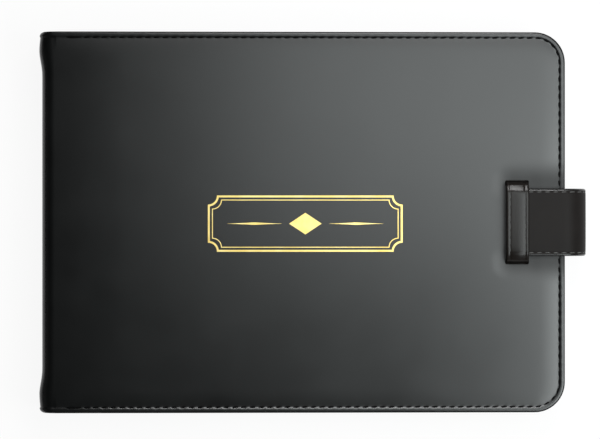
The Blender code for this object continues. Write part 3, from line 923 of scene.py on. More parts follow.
@dataclass(frozen=True)
class Book:
    """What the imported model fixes, and how its covers lie."""

    fore_x: float
    half_h: float
    thick: float
    roll_r: float
    crease: Vector
    lean: float
    panel_t: float = 4.0 * MM
    corner_r: float = 14.0 * MM
    bend_from: float = 1.0 * MM
    bend_to: float = 5.0 * MM
    flare: float = 1.4 * MM
    flare_run: float = 20.0 * MM
    flare_full: float = 8.0 * MM
    end_round: float = 3.0 * MM
    end_draw: float = 2.2 * MM

    @classmethod
    def measure(cls) -> "Book":
        """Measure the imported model.

        Returns:
            The book's sizes.
        """
        back, front = joint_at("spine_hinge"), joint_at("front_cover_hinge")
        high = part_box("back_skin")[1]
        radius, lean = back.z / (1 - math.pi / 4), lean_of("front_skin")
        return cls(high.x, high.y, front.z + back.z, radius, front, lean)

    @property
    def spine_x(self) -> float:
        """The spine's outer face, as far from the middle as the fore edge."""
        return -self.fore_x

    @property
    def roll_x(self) -> float:
        """Where a cover's flat panel starts and its roll ends."""
        return self.spine_x + self.roll_r

    def from_spine(self, millimetres: float) -> float:
        """X at a distance from the spine's outer face."""
        return self.spine_x + millimetres * MM

    def roll_bend(self, side: Side) -> Bends:
        """How leather and lining bend over a cover's roll.

        Args:
            side: The cover.

        Returns:
            The bend, from the spine to the front cover or from the back cover to the spine.
        """
        low, high = self.bend_from, self.bend_to
        far, near = self.spine_x + low, self.spine_x + high
        if side is Side.FRONT:
            start, end = (far, 0.0, self.thick - high), (near, 0.0, self.thick - low)
            return Bends("spine", "front_cover", start, end)
        return Bends("back_cover", "spine", (near, 0.0, low), (far, 0.0, high))

    def spin_roll(self, steps: int) -> None:
        """Spin the selected edge of a level panel over into its roll, in edit mode."""
        centre = (self.roll_x, 0.0, -self.roll_r)
        bpy.ops.mesh.spin(steps=steps, angle=QUARTER, axis=(0, 1, 0), center=centre)

    def leaned(self, at: Vector, share: float = 1.0) -> Vector:
        """A point of the level front cover once the closed cover leans down to the fore edge."""
        turn = Matrix.Rotation(self.lean * share, 3, "Y")
        return self.crease + turn @ (at - self.crease)

    def flared(self, at: Vector, radius: float) -> Vector:
        """Move a point out where the spine's ends stand out.

        Args:
            at: A point of a roll or the spine, drawn with its cover's outer face at height 0.
            radius: The roll's radius at this layer.

        Returns:
            The moved point.
        """
        to_end = self.half_h - abs(at.y)
        out = ease((self.flare_run - to_end) / (self.flare_run - self.flare_full)) * self.flare
        into = min(1.0, max(0.0, 1.0 - to_end / self.end_round))
        out -= self.end_draw * (1.0 - math.sqrt(1.0 - into * into))
        share = min(1.0, max(0.0, (self.roll_x - at.x) / radius))
        if at.z < -self.roll_r - TINY:
            share = 1.0
        return Vector((at.x - out * share, at.y, at.z))

    def settled(self, bench: Bench, side: Side) -> None:
        """Bring a piece drawn with its cover's outer face at height 0 to where that cover lies.

        Args:
            bench: The piece, its inside downwards.
            side: The cover it belongs to.
        """
        if side is Side.BACK:
            bench.reshape(lambda at: Vector((at.x, at.y, -at.z)))
            bench.turn_over()
            return
        bend = self.roll_bend(side)

        def raise_and_lean(at: Vector) -> Vector:
            """Raise a point to the cover's height and lean it."""
            at = at + UPRIGHT * self.thick
            return self.leaned(at, bend.share(at))

        bench.reshape(raise_and_lean)


@dataclass(frozen=True)
class Sewing:
    """A row of lock stitches."""

    pitch: float = 4.0 * MM
    length: float = 2.9 * MM
    width: float = 0.95 * MM
    height: float = 0.42 * MM
    slant: float = 5.0
    sides: int = 6
    cuts: int = 3
    end_full: float = 0.55
    end_drop: float = 0.35

    def stitch(self) -> Bench:
        """Model one stitch: a short thread, fuller in its middle, going down at both ends.

        Returns:
            The stitch along X, at the origin.
        """
        clear_selection()
        bpy.ops.mesh.primitive_cylinder_add(vertices=self.sides, radius=0.5, depth=1.0,
                                            rotation=(0, QUARTER, 0))
        bench = Bench.start("stitch", (self.height, self.width, self.length))
        with bench.edit():
            bench.divide(lambda _, way: abs(way.x) > ALONG, self.cuts)

        def swell(at: Vector) -> Vector:
            """Draw a point in and down towards the stitch's ends.

            Args:
                at: A point of the stitch.

            Returns:
                The moved point.
            """
            run = (abs(at.x) / (self.length / 2)) ** 3
            full = self.end_full + (1.0 - self.end_full) * math.sqrt(max(0.0, 1.0 - run))
            return Vector((at.x, at.y * full, at.z * full - self.end_drop * self.height * run))

        bench.reshape(swell)
        return bench

    def sew(self, name: str, places: Sequence[tuple[Vector, Vector, Vector]]) -> Bench:
        """Sew a row of stitches.

        Args:
            name: The row's name.
            places: Each stitch's middle, direction and upward normal.

        Returns:
            The row as one mesh.
        """
        model = self.stitch()
        tilt = Matrix.Rotation(math.radians(self.slant), 3, "Z")
        stitches = []
        for middle, along, up in places:
            along, up = along.normalized(), up.normalized()
            turn = Matrix((along, up.cross(along), up)).transposed() @ tilt
            stitches.append(model.copy(name))
            stitches[-1].obj.data.transform(Matrix.Translation(middle) @ turn.to_4x4())
        bpy.data.objects.remove(model.obj)
        row = Bench.joined(name, stitches)
        row.smooth(angle=70.0)
        return row


@dataclass
class Cover:
    """One cover's leatherette with its roll, sewn round three sides."""

    book: Book
    side: Side
    spare: float = 45.0 * MM
    edge_r: float = 0.8 * MM
    edge_steps: int = 4
    lip_drop: float = 0.03 * MM
    rim_rows: tuple[Pair, ...] = (
        (1.2, 0.0), (1.8, -0.02), (2.15, -0.10), (2.4, -0.25), (2.65, -0.36), (2.95, -0.38), (3.4, -0.345),
        (4.1, -0.28), (5.0, -0.20), (6.2, -0.125), (7.6, -0.065), (9.2, -0.02), (11.0, 0.0))
    skin_t: float = 0.8 * MM
    turn_in: float = 1.4 * MM
    groove: float = 2.6 * MM
    slope_drop: float = 0.75 * MM
    slope_run: float = 33.0 * MM
    slope_depth: float = 1.2 * MM
    slope_cuts: tuple[float, ...] = (1.0, 2.5, 4.5, 6.5, 9.0, 12.0, 15.0, 18.0, 21.0, 24.0, 27.0, 30.0, 33.0)
    pucker: float = 0.06 * MM
    pucker_run: float = 1.1 * MM
    pucker_depth: float = 0.6 * MM
    edge_band: float = 0.6 * MM
    edge_facing: float = 0.85
    slit_round: tuple[float, int] = (0.9 * MM, 4)
    sink: float = 0.22 * MM
    sink_run: float = 6.5 * MM
    sink_cuts: int = 16
    wall: float = 2.0 * MM
    wall_end: float = 2.3 * MM
    sew_start: float = 11.0
    stitch_level: Pair = (-0.28 * MM, -0.05 * MM)
    corner_steps: int = 14
    roll_steps: int = 12
    spine_steps: int = 6
    edge_cuts: tuple[int, int] = (18, 19)
    fore_cuts: tuple[int, int] = (12, 15)
    spine_cuts: int = 60
    middle_reach: float = 30.0 * MM

    @property
    def spine_run(self) -> float:
        """How far the leather goes on down the spine, past its roll."""
        return self.book.thick - 2 * self.book.roll_r if self.side is Side.FRONT else 0.0

    def rim_profile(self) -> list[Pair]:
        """The rim in section: a rounded edge, a lip, the sewn groove, and the pillowed face.

        Returns:
            Insets from the outline with their heights below the face.
        """
        rows = [(0.0, -self.wall), (0.0, -self.edge_r)]
        for step in range(1, self.edge_steps + 1):
            turn = QUARTER * step / self.edge_steps
            height = self.edge_r * (math.sin(turn) - 1) - self.lip_drop
            rows.append((self.edge_r * (1 - math.cos(turn)), height))
        return rows + [(inset * MM, height * MM) for inset, height in self.rim_rows]

    def panel(self, name: str) -> Bench:
        """Model the panel: its outline raised to the rim and drawn in row by row.

        Args:
            name: The piece's name.

        Returns:
            The open panel with its outer face at height 0.
        """
        book = self.book
        inset, height = 0.0, -book.panel_t
        low, high = (book.roll_x - self.spare, -book.half_h), (book.fore_x, book.half_h)
        bench = Bench.plate(name, low, high, height)
        with bench.edit():
            bench.pick(Kind.VERTS, lambda at, _: at.x > book.fore_x - TINY)
            bpy.ops.mesh.bevel(offset=book.corner_r, segments=self.corner_steps, affect="VERTICES")
            for end in (-1, 1):
                bench.divide(lambda at, _: abs(at.y - end * book.half_h) < TINY, *self.edge_cuts)
            bench.divide(lambda at, _: abs(at.x - book.fore_x) < TINY, *self.fore_cuts)
            bench.pick_all(Kind.FACES)
            for row_inset, row_height in self.rim_profile():
                if row_inset > inset:
                    bpy.ops.mesh.inset(thickness=row_inset - inset, depth=row_height - height,
                                       use_even_offset=True)
                else:
                    bench.lift(0.0, 0.0, row_height - height)
                inset, height = row_inset, row_height
            bench.pick(Kind.FACES, lambda _, up: up.z < -ALONG)
            bpy.ops.mesh.inset(thickness=self.turn_in, depth=0.0, use_even_offset=True)
            bpy.ops.mesh.delete(type="FACE")
            bench.pick_all()
            bench.slice_at(0, book.roll_x, clear=True)
        return bench

    def roll(self, bench: Bench) -> None:
        """Spin the panel's open edge over into the roll and draw it down the spine.

        Args:
            bench: The open panel.
        """
        book = self.book
        end = book.roll_x + self.wall_end
        with bench.edit():
            for run in self.slope_cuts:
                bench.pick_all()
                bench.slice_at(0, book.roll_x + run * MM)
            bench.pick(Kind.FACES, lambda at, _: at.z < -self.wall - TINY)
            bench.slice_at(0, end)
            bench.pick(Kind.FACES, lambda at, _: at.z < -self.wall - TINY and at.x < end)
            bpy.ops.mesh.delete(type="FACE")
            bench.divide(lambda at, _: abs(at.x - book.roll_x) < TINY and abs(at.y) < self.middle_reach,
                         self.spine_cuts, rim=True)
            bench.pick(Kind.EDGES, lambda at, _: abs(at.x - book.roll_x) < TINY, rim=True)
            book.spin_roll(self.roll_steps)
            for _ in range(self.spine_steps if self.spine_run else 0):
                bench.lift(0.0, 0.0, -self.spine_run / self.spine_steps)
            bench.face_outwards()
        bench.face_up()

    def refine(self, bench: Bench, slits: Sequence[Opening]) -> None:
        """Cut the plain face finer round the slits, so that it can sink there.

        Args:
            bench: The panel with its outer face at height 0.
            slits: Lowest and highest corners of the openings.
        """
        reach = self.rim_profile()[-1][0]
        fore, head = self.book.fore_x - reach, self.book.half_h - reach
        planes = set()
        for low, high in slits:
            for axis in (0, 1):
                first, last = low[axis] - self.sink_run, high[axis] + self.sink_run
                planes |= {(axis, round(first + (last - first) * step / self.sink_cuts, 7))
                           for step in range(-1, self.sink_cuts + 2)}
        with bench.edit():
            for axis, place in sorted(planes):
                bench.pick(Kind.FACES, lambda at, up: up.z > ALONG and at.x < fore and abs(at.y) < head)
                bench.slice_at(axis, place)

    def sunk(self, at: Vector, slits: Sequence[Opening]) -> Vector:
        """Let a point of the face sink towards the slits that the keeper is drawn down through.

        Args:
            at: A point of the panel, drawn with its outer face at height 0.
            slits: Lowest and highest corners of the openings.

        Returns:
            The moved point.
        """
        share = 0.0
        for low, high in slits:
            away = math.hypot(max(low.x - at.x, 0.0, at.x - high.x), max(low.y - at.y, 0.0, at.y - high.y))
            share = max(share, ease(1.0 - away / self.sink_run))
        return at - UPRIGHT * (self.sink * share) if at.z > -TINY else at

    def puckered(self, at: Vector) -> Vector:
        """Draw a point of the face down under the stitches and leave it up between them.

        Args:
            at: A point of the panel, drawn with its outer face at height 0.

        Returns:
            The moved point.
        """
        _, _, total, count = self.seam_runs()
        inset, run = self.from_edge(at)
        near = 1.0 - abs(inset - self.groove) / self.pucker_run
        if near <= 0 or run < 0 or at.z < -self.pucker_depth:
            return at
        wave = math.cos(2 * math.pi * run * count / total)
        return at + UPRIGHT * (self.pucker * ease(near) * wave)

    def sloped(self, at: Vector) -> Vector:
        """Let the face fall away towards the roll, and the roll with it.

        Args:
            at: A point of the panel, drawn with its outer face at height 0.

        Returns:
            The moved point.
        """
        share = max(0.0, 1.0 - max(0.0, at.x - self.book.roll_x) / self.slope_run)
        reach = self.slope_depth if at.x > self.book.roll_x + TINY else self.book.panel_t
        depth = max(0.0, 1.0 + at.z / reach)
        return at - UPRIGHT * (self.slope_drop * share * share * depth)

    def leather(self, slits: Sequence[Opening] = ()) -> None:
        """Build the cover's leatherette.

        Args:
            slits: Lowest and highest corners of openings through it, drawn level.
        """
        book = self.book
        bench = self.panel(f"{self.side.value}_leather")
        self.roll(bench)
        self.refine(bench, slits)
        bench.reshape(lambda at: self.sunk(at, slits))
        bench.reshape(self.puckered)
        bench.reshape(self.sloped)
        bench.reshape(lambda at: book.flared(at, book.roll_r))
        bench.modifier("SOLIDIFY", thickness=self.skin_t, offset=-1.0, use_even_offset=True)
        bench.split_wide_faces()
        for low, high in slits:
            bench.cut(Bench.block("slit", low, high, self.slit_round))
        edges = bench.faces(lambda face: self.from_edge(face.center)[0] < self.edge_band
                            and face.normal.z < self.edge_facing)
        book.settled(bench, self.side)
        bench.smooth(angle=45.0)
        if self.side is Side.FRONT:
            finish, nodes = FRONT_LEATHER, ("front_skin", "spine_skin", "front_hinge_strip")
        else:
            finish, nodes = COVER_LEATHER, ("back_skin", "back_hinge_strip")
        hand_over(bench, finish, book.roll_bend(self.side), nodes, EDGE_LEATHER, edges)

    def seam_runs(self) -> tuple[float, float, float, int]:
        """The seam's straight run, its bend, its whole length and its number of stitches.

        Returns:
            The three lengths and the number.
        """
        book = self.book
        side = book.fore_x - book.corner_r - book.from_spine(self.sew_start)
        bend = (book.corner_r - self.groove) * QUARTER
        total = 2 * (side + bend + book.half_h - book.corner_r)
        return side, bend, total, int(total / Sewing.pitch)

    def from_edge(self, at: Vector) -> Pair:
        """How far a point lies in from the panel's three free sides, and how far along the seam.

        Args:
            at: A point of the panel.

        Returns:
            Both distances.
        """
        book = self.book
        side, bend, _, _ = self.seam_runs()
        x, y = at.x - book.fore_x + book.corner_r, abs(at.y) - book.half_h + book.corner_r
        if x > 0 and y > 0:
            return book.corner_r - math.hypot(x, y), side + bend * math.atan2(x, y) / QUARTER
        if x > y:
            return book.corner_r - x, side + bend - y
        return book.corner_r - y, side + x

    def seam(self) -> list[tuple[float, float, float, float]]:
        """Lay out the stitches round the panel's three free sides.

        Returns:
            Each stitch's place and direction in X and Y.
        """
        book = self.book
        side, bend, total, count = self.seam_runs()
        start = book.from_spine(self.sew_start)
        half, radius = book.half_h - self.groove, book.corner_r - self.groove
        found = []
        for index in range(count):
            run = (index + 0.5) * total / count
            mirror = run > total / 2
            run = total - run if mirror else run
            if run < side:
                x, y, turn = start + run, -half, 0.0
            elif run < side + bend:
                turn = (run - side) / radius
                x, y = start + side + radius * math.sin(turn), radius - half - radius * math.cos(turn)
            else:
                x, y, turn = start + side + radius, run - side - bend + radius - half, QUARTER
            way = (math.cos(turn), math.sin(turn))
            found.append((x, -y, -way[0], way[1]) if mirror else (x, y, *way))
        return found

    def sewing(self, face: Face) -> None:
        """Sew the row of stitches round one face of the panel, with a long stitch at each end.

        Args:
            face: The face they show on.
        """
        if face is Face.OUTER:
            up, level = UPRIGHT, self.stitch_level[0]
        else:
            up, level = -UPRIGHT, self.stitch_level[1] - self.book.panel_t
        places = [(Vector((x, y, level)), Vector((a, b, 0.0)), up) for x, y, a, b in self.seam()]
        first, last = (places[0][0] + places[1][0]) / 2, (places[-1][0] + places[-2][0]) / 2
        name = f"{self.side.value}_stitches_{face.value}"
        row = Sewing().sew(name, places[2:-2])
        long_stitch = Sewing(length=Sewing.length + Sewing.pitch, slant=0.0)
        ends = long_stitch.sew("end_stitches", [(first, *places[0][1:]), (last, *places[-1][1:])])
        row = Bench.joined(name, [row, ends])
        self.book.settled(row, self.side)
        hand_over(row, DARK_THREAD, Rides(self.side.body))


@dataclass
class Lining:
    """One cover's cloth lining, over its board and through the roll; the front one lines the spine too."""

    book: Book
    side: Side
    inset: float = 1.3 * MM
    cloth_t: float = 0.7 * MM
    ramp: float = 0.35 * MM
    ramp_steps: tuple[Pair, ...] = ((0.12, 0.18), (0.38, 0.32), (0.38, 0.32), (0.12, 0.18))
    ramp_margin: float = 1.75 * MM
    roll_t: float = 2.0 * MM
    corner_steps: int = 10
    roll_steps: int = 8
    spine_cuts: int = 60

    def build(self) -> None:
        """Build the lining; the length it was cut to is worked out but not used."""
        book, front = self.book, self.side is Side.FRONT
        start, half, inner_r = book.roll_x + self.ramp, book.half_h - self.inset, book.roll_r - self.roll_t
        corner, flat = book.corner_r - self.inset, start + self.ramp_margin
        step, spine = book.panel_t - self.roll_t, book.thick - 2 * (book.roll_r + self.ramp)
        low, high = (flat, -half), (book.fore_x - self.inset, half)
        bench = Bench.plate(f"{self.side.value}_lining_cloth", low, high, -book.panel_t)
        with bench.edit():
            bench.pick(Kind.VERTS, lambda at, _: at.x > 0.0)
            bpy.ops.mesh.bevel(offset=corner, segments=self.corner_steps, affect="VERTICES")
            bench.divide(lambda at, _: at.x < flat + TINY, self.spine_cuts)
            bench.pick(Kind.EDGES, lambda at, _: at.x < flat + TINY)
            bench.lift(-self.ramp_margin, 0.0, 0.0)
            for run, rise in self.ramp_steps:
                bench.lift(-self.ramp * run, 0.0, step * rise)
            book.spin_roll(self.roll_steps)
            if front:
                for run, rise in self.ramp_steps:
                    bench.lift(step * rise, 0.0, -self.ramp * run)
                bench.lift(0.0, 0.0, -spine)
                for run, rise in self.ramp_steps:
                    bench.lift(-step * rise, 0.0, -self.ramp * run)
            bench.face_outwards()
        bench.face_up()
        bench.reshape(lambda at: book.flared(at, inner_r))
        bench.modifier("SOLIDIFY", thickness=self.cloth_t, offset=1.0)
        book.settled(bench, self.side)
        bench.smooth(angle=50.0)
        nodes = ("front_lining", "spine_lining") if front else ("back_lining",)
        piece = hand_over(bench, LINING, book.roll_bend(self.side), nodes)
        slope = math.hypot(self.ramp, step)
        run = book.fore_x - self.inset - start + slope + inner_r * QUARTER
        run += 2 * slope + spine if front else 0.0


@dataclass
class LogSheets:
    """A stack of punched log sheets, in thin bundles that lie a little unevenly."""

    node: str
    body: str
    seed: int
    bundle: float = 0.52 * MM
    air: float = 0.02 * MM
    uneven: float = 0.16 * MM
    corner: tuple[float, int] = (2.5 * MM, 5)
    hole_r: float = 3.0 * MM
    hole_inset: float = 7.5 * MM
    hole_y: float = 40.0 * MM
    hole_sides: int = 28
    punch_length: float = 10.0  # in bundles

    def build(self) -> None:
        """Build the stack in the frame of its slope, then tilt it."""
        name, tilt = f"{self.node}_sheets", lean_of(self.node)
        level = Matrix.Rotation(-tilt, 3, "Y")
        points = [level @ vertex.co for vertex in frame["nodes"][self.node].data.vertices]
        low, high = (Vector(pick(point[axis] for point in points) for axis in range(3))
                     for pick in (min, max))
        count = round((high.z - low.z) / self.bundle)
        pitch = (high.z - low.z) / count
        model = Bench.block("bundle", low, (high.x, high.y, low.z + pitch - self.air), self.corner)
        for end in (-1, 1):
            place = (low.x + self.hole_inset, end * self.hole_y, low.z)
            model.cut(Bench.rod("punch", place, self.hole_r, self.punch_length * pitch, self.hole_sides))
        dice = random.Random(self.seed)
        bundles = []
        for index in range(count):
            shift = (dice.uniform(-1, 0) * self.uneven, dice.uniform(-1, 1) * self.uneven, index * pitch)
            bundles.append(model.copy(name))
            bundles[-1].obj.data.transform(Matrix.Translation(shift))
        bpy.data.objects.remove(model.obj)
        bench = Bench.joined(name, bundles)
        bench.obj.data.transform(Matrix.Rotation(tilt, 4, "Y"))
        bench.smooth(angle=30.0)
        edges = bench.faces(lambda face: abs(face.normal.z) <= ALONG)
        hand_over(bench, LOG_PAPER, Rides(self.body), (self.node,), SHEET_EDGES, edges)


@dataclass
class RingBinder:
    """The wire half rings and opening levers of the ring mechanism."""

    wire_r: float = 1.1 * MM
    foot_angle: float = 36.0
    tip_gap: float = 0.3 * MM
    tip_steps: float = 2.2
    tip_blunt: float = 0.6
    ring_steps: int = 36
    wire_sides: int = 16
    lever_w: float = 9.0 * MM
    lever_corner: float = 2.6 * MM
    corner_steps: int = 8
    lever_t: float = 1.2 * MM
    lever_reach: float = 8.5 * MM
    lever_rise: float = 6.0 * MM
    lever_curl: float = 0.45
    neck_w: float = 6.4 * MM
    neck_l: float = 3.0 * MM
    lever_runs: tuple[float, ...] = (-1.0, 0.0, 0.7, 1.5, 2.3, 3.0, 4.2, 5.2)
    lever_section: tuple[Pair, ...] = (
        (1.0, -0.45), (1.0, 0.45), (0.94, 0.8), (0.82, 1.0), (-0.82, 1.0), (-0.94, 0.8), (-1.0, 0.45),
        (-1.0, -0.45), (-0.94, -0.8), (-0.82, -1.0), (0.82, -1.0), (0.94, -0.8))

    def half_ring(self, word: str, end: str) -> None:
        """Build one half ring, its tip rounded off.

        Args:
            word: spine_side or page_side.
            end: head_end or tail_end.
        """
        node = f"ring_{word}_{end}"
        low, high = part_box(node)
        centre = joint_at("leaves_turn")
        centre.y = (low.y + high.y) / 2
        side = 1 if word == "page_side" else -1
        radius = (high.x - centre.x if side > 0 else centre.x - low.x) - self.wire_r
        tip = QUARTER - self.tip_gap / 2 / radius
        foot = -QUARTER + math.radians(self.foot_angle)
        turns = [2 * math.pi * index / self.wire_sides for index in range(self.wire_sides)]
        loops = []
        for step in range(self.ring_steps + 1):
            turn = foot + (tip - foot) * step / self.ring_steps
            rounding = min(1.0, (self.ring_steps - step + self.tip_blunt) / self.tip_steps)
            reach = self.wire_r * math.sqrt(1 - (1 - rounding) ** 2)
            out = Vector((side * math.cos(turn), 0.0, math.sin(turn)))
            loops.append([centre + out * (radius + reach * math.cos(a))
                          + Vector((0.0, reach * math.sin(a), 0.0)) for a in turns])
        bench = Bench.swept(f"{node}_wire", loops)
        bench.smooth(angle=60.0)
        hand_over(bench, STEEL, Rides(f"rings_{word}"), (node,))

    def lever_half(self, run: float) -> float:
        """Half the lever's width: a neck, then a thumb plate with round corners.

        Args:
            run: Distance out from the lever's axis.

        Returns:
            Half its width there.
        """
        half = (self.neck_w + (self.lever_w - self.neck_w) * ease(run / self.neck_l)) / 2
        into = max(0.0, run - self.lever_reach + self.lever_corner)
        return half - self.lever_corner + math.sqrt(max(0.0, self.lever_corner**2 - into**2))

    def lever(self, word: str, end: int) -> None:
        """Build one opening lever: a plate with rounded edges, bent up past the sheets' edge.

        Args:
            word: head_end or tail_end.
            end: 1 at the head, -1 at the tail.
        """
        axis = joint_at(f"lever_{word}_press")
        runs = [run * MM for run in self.lever_runs]
        corner = self.lever_reach - self.lever_corner
        turns = (QUARTER * step / self.corner_steps for step in range(self.corner_steps + 1))
        runs += [corner + self.lever_corner * math.sin(turn) for turn in turns]
        loops = []
        for run in runs:
            share = run / self.lever_reach
            height = self.lever_rise * share * (1 - self.lever_curl + self.lever_curl * share)
            slope = self.lever_rise / self.lever_reach * (1 - self.lever_curl + 2 * self.lever_curl * share)
            across = Vector((-slope, 1.0)).normalized() * (self.lever_t / 2)
            half = self.lever_half(run)
            loops.append([axis + Vector((a * half, end * (run + b * across.x), height + b * across.y))
                          for a, b in self.lever_section])
        bench = Bench.swept(f"lever_{word}_plate", loops)
        bench.smooth(angle=45.0)
        hand_over(bench, STEEL, Rides(f"lever_{word}"), (f"lever_{word}",))


@dataclass
class Keeper:
    """The loop on the front cover that the strap is tucked through."""

    book: Book
    middle: float = 219.7
    width: float = 10.5 * MM
    reach: float = 18.5 * MM
    sheet: float = 1.5 * MM
    bend_r: float = 1.6 * MM
    top_bend_r: float = 1.3 * MM
    bend_steps: int = 8
    level: float = 13.0 * MM
    sloped: float = 15.0 * MM
    shoulder_tilt: float = 18.0
    shoulder_steps: int = 5
    level_shares: tuple[float, ...] = (0.85, 0.7, 0.5, 0.3, 0.15)
    foot: float = 6.0 * MM
    foot_flat: float = 0.6
    foot_z: float = -2.15 * MM
    top_z: float = 3.5 * MM
    play: float = 0.3 * MM
    slit_gape: float = 1.0 * MM
    slit_floor: float = 1.2 * MM
    outer_half: tuple[Pair, ...] = (
        (-1.0, -0.35), (-1.0, 0.35), (-0.955, 0.75), (-0.88, 0.95), (-0.76, 0.92), (-0.68, 0.74),
        (-0.60, 0.92), (-0.45, 1.0), (0.0, 1.08))
    inner_share: float = 0.93
    seam: Pair = (0.68, 0.74)
    seam_over: float = 1.0 * MM
    stitch_lift: float = 0.02 * MM
    stitch_count: int = 8
    stitches: Sewing = Sewing(length=3.0 * MM, width=0.55 * MM)

    @property
    def x(self) -> float:
        """Where the band's middle lies along the cover."""
        return self.book.from_spine(self.middle)

    def slits(self) -> list[Opening]:
        """The openings that its legs go down through.

        Returns:
            Lowest and highest corner of each, drawn level.
        """
        half = self.width / 2 + self.play
        near, far = self.reach - self.sheet - self.play, self.reach + self.slit_gape
        depth = self.book.panel_t - self.slit_floor
        return [(Vector((self.x - half, a, -depth)), Vector((self.x + half, b, MM)))
                for a, b in ((near, far), (-far, -near))]

    def line(self) -> list[Vector]:
        """The middle line: foot, leg, bend, sloped shoulder and level top, and the same again.

        Returns:
            Points from the head end to the tail end, drawn level.
        """
        leg, radius = self.reach - self.sheet / 2, self.bend_r
        half = [(leg + self.foot, self.foot_z), (leg + self.foot * self.foot_flat, self.foot_z)]
        for step in range(self.bend_steps + 1):
            turn = -QUARTER - QUARTER * step / self.bend_steps
            half.append((leg + radius + radius * math.cos(turn),
                         self.foot_z + radius + radius * math.sin(turn)))
        radius, tilt = self.top_bend_r, math.radians(self.shoulder_tilt)
        edge = leg - radius + radius * math.sin(tilt)
        edge_z = self.top_z - (edge - (self.level + self.sloped) / 2) * math.tan(tilt)
        for step in range(self.bend_steps + 1):
            turn = (QUARTER - tilt) * step / self.bend_steps
            half.append((leg - radius + radius * math.cos(turn),
                         edge_z + radius * (math.sin(turn) - math.cos(tilt))))
        for step in range(self.shoulder_steps + 1):
            share = 1.0 - step / self.shoulder_steps
            drop = math.tan(tilt) * (self.sloped - self.level) / 2 * share * share
            half.append((self.level + (self.sloped - self.level) * share, self.top_z - drop))
        half += [(self.level * share, self.top_z) for share in self.level_shares]
        whole = half + [(0.0, self.top_z)] + [(-y, z) for y, z in half[::-1]]
        return [Vector((self.x, y, z)) for y, z in whole]

    def section(self) -> list[Pair]:
        """The band in section: rounded sides and a sewn groove along each of them.

        Returns:
            Offsets across the band and out of it.
        """
        half, thick = self.width / 2, self.sheet / 2
        upper = mirrored([(a * half, b * thick) for a, b in self.outer_half])
        return upper + [(self.inner_share * half, -thick), (-self.inner_share * half, -thick)]

    def band(self) -> None:
        """Build the band."""
        line = self.line()
        loops = []
        for at, way in zip(line, directions(line)):
            out = Vector((0.0, way.z, -way.y))
            loops.append([at + Vector((a, 0.0, 0.0)) + out * b for a, b in self.section()])
        bench = Bench.swept("keeper", loops)
        self.book.settled(bench, Side.FRONT)
        bench.smooth(angle=50.0)
        hand_over(bench, KEEPER_LEATHER, Rides("front_cover"), ("keeper_band",))

    def sewing(self) -> None:
        """Sew a row along each side of the band."""
        across, out = self.seam
        pitch = 2 * (self.level + self.seam_over) / self.stitch_count
        z = self.top_z + out * self.sheet / 2 + self.stitch_lift
        along = Vector((0.0, 1.0, 0.0))
        runs = [(index + 0.5 - self.stitch_count / 2) * pitch for index in range(self.stitch_count)]
        places = [(Vector((self.x + side * across * self.width / 2, y, z)), along, UPRIGHT)
                  for side in (-1, 1) for y in runs]
        row = self.stitches.sew("keeper_stitches", places)
        self.book.settled(row, Side.FRONT)
        hand_over(row, KEEPER_THREAD, Rides("front_cover"))


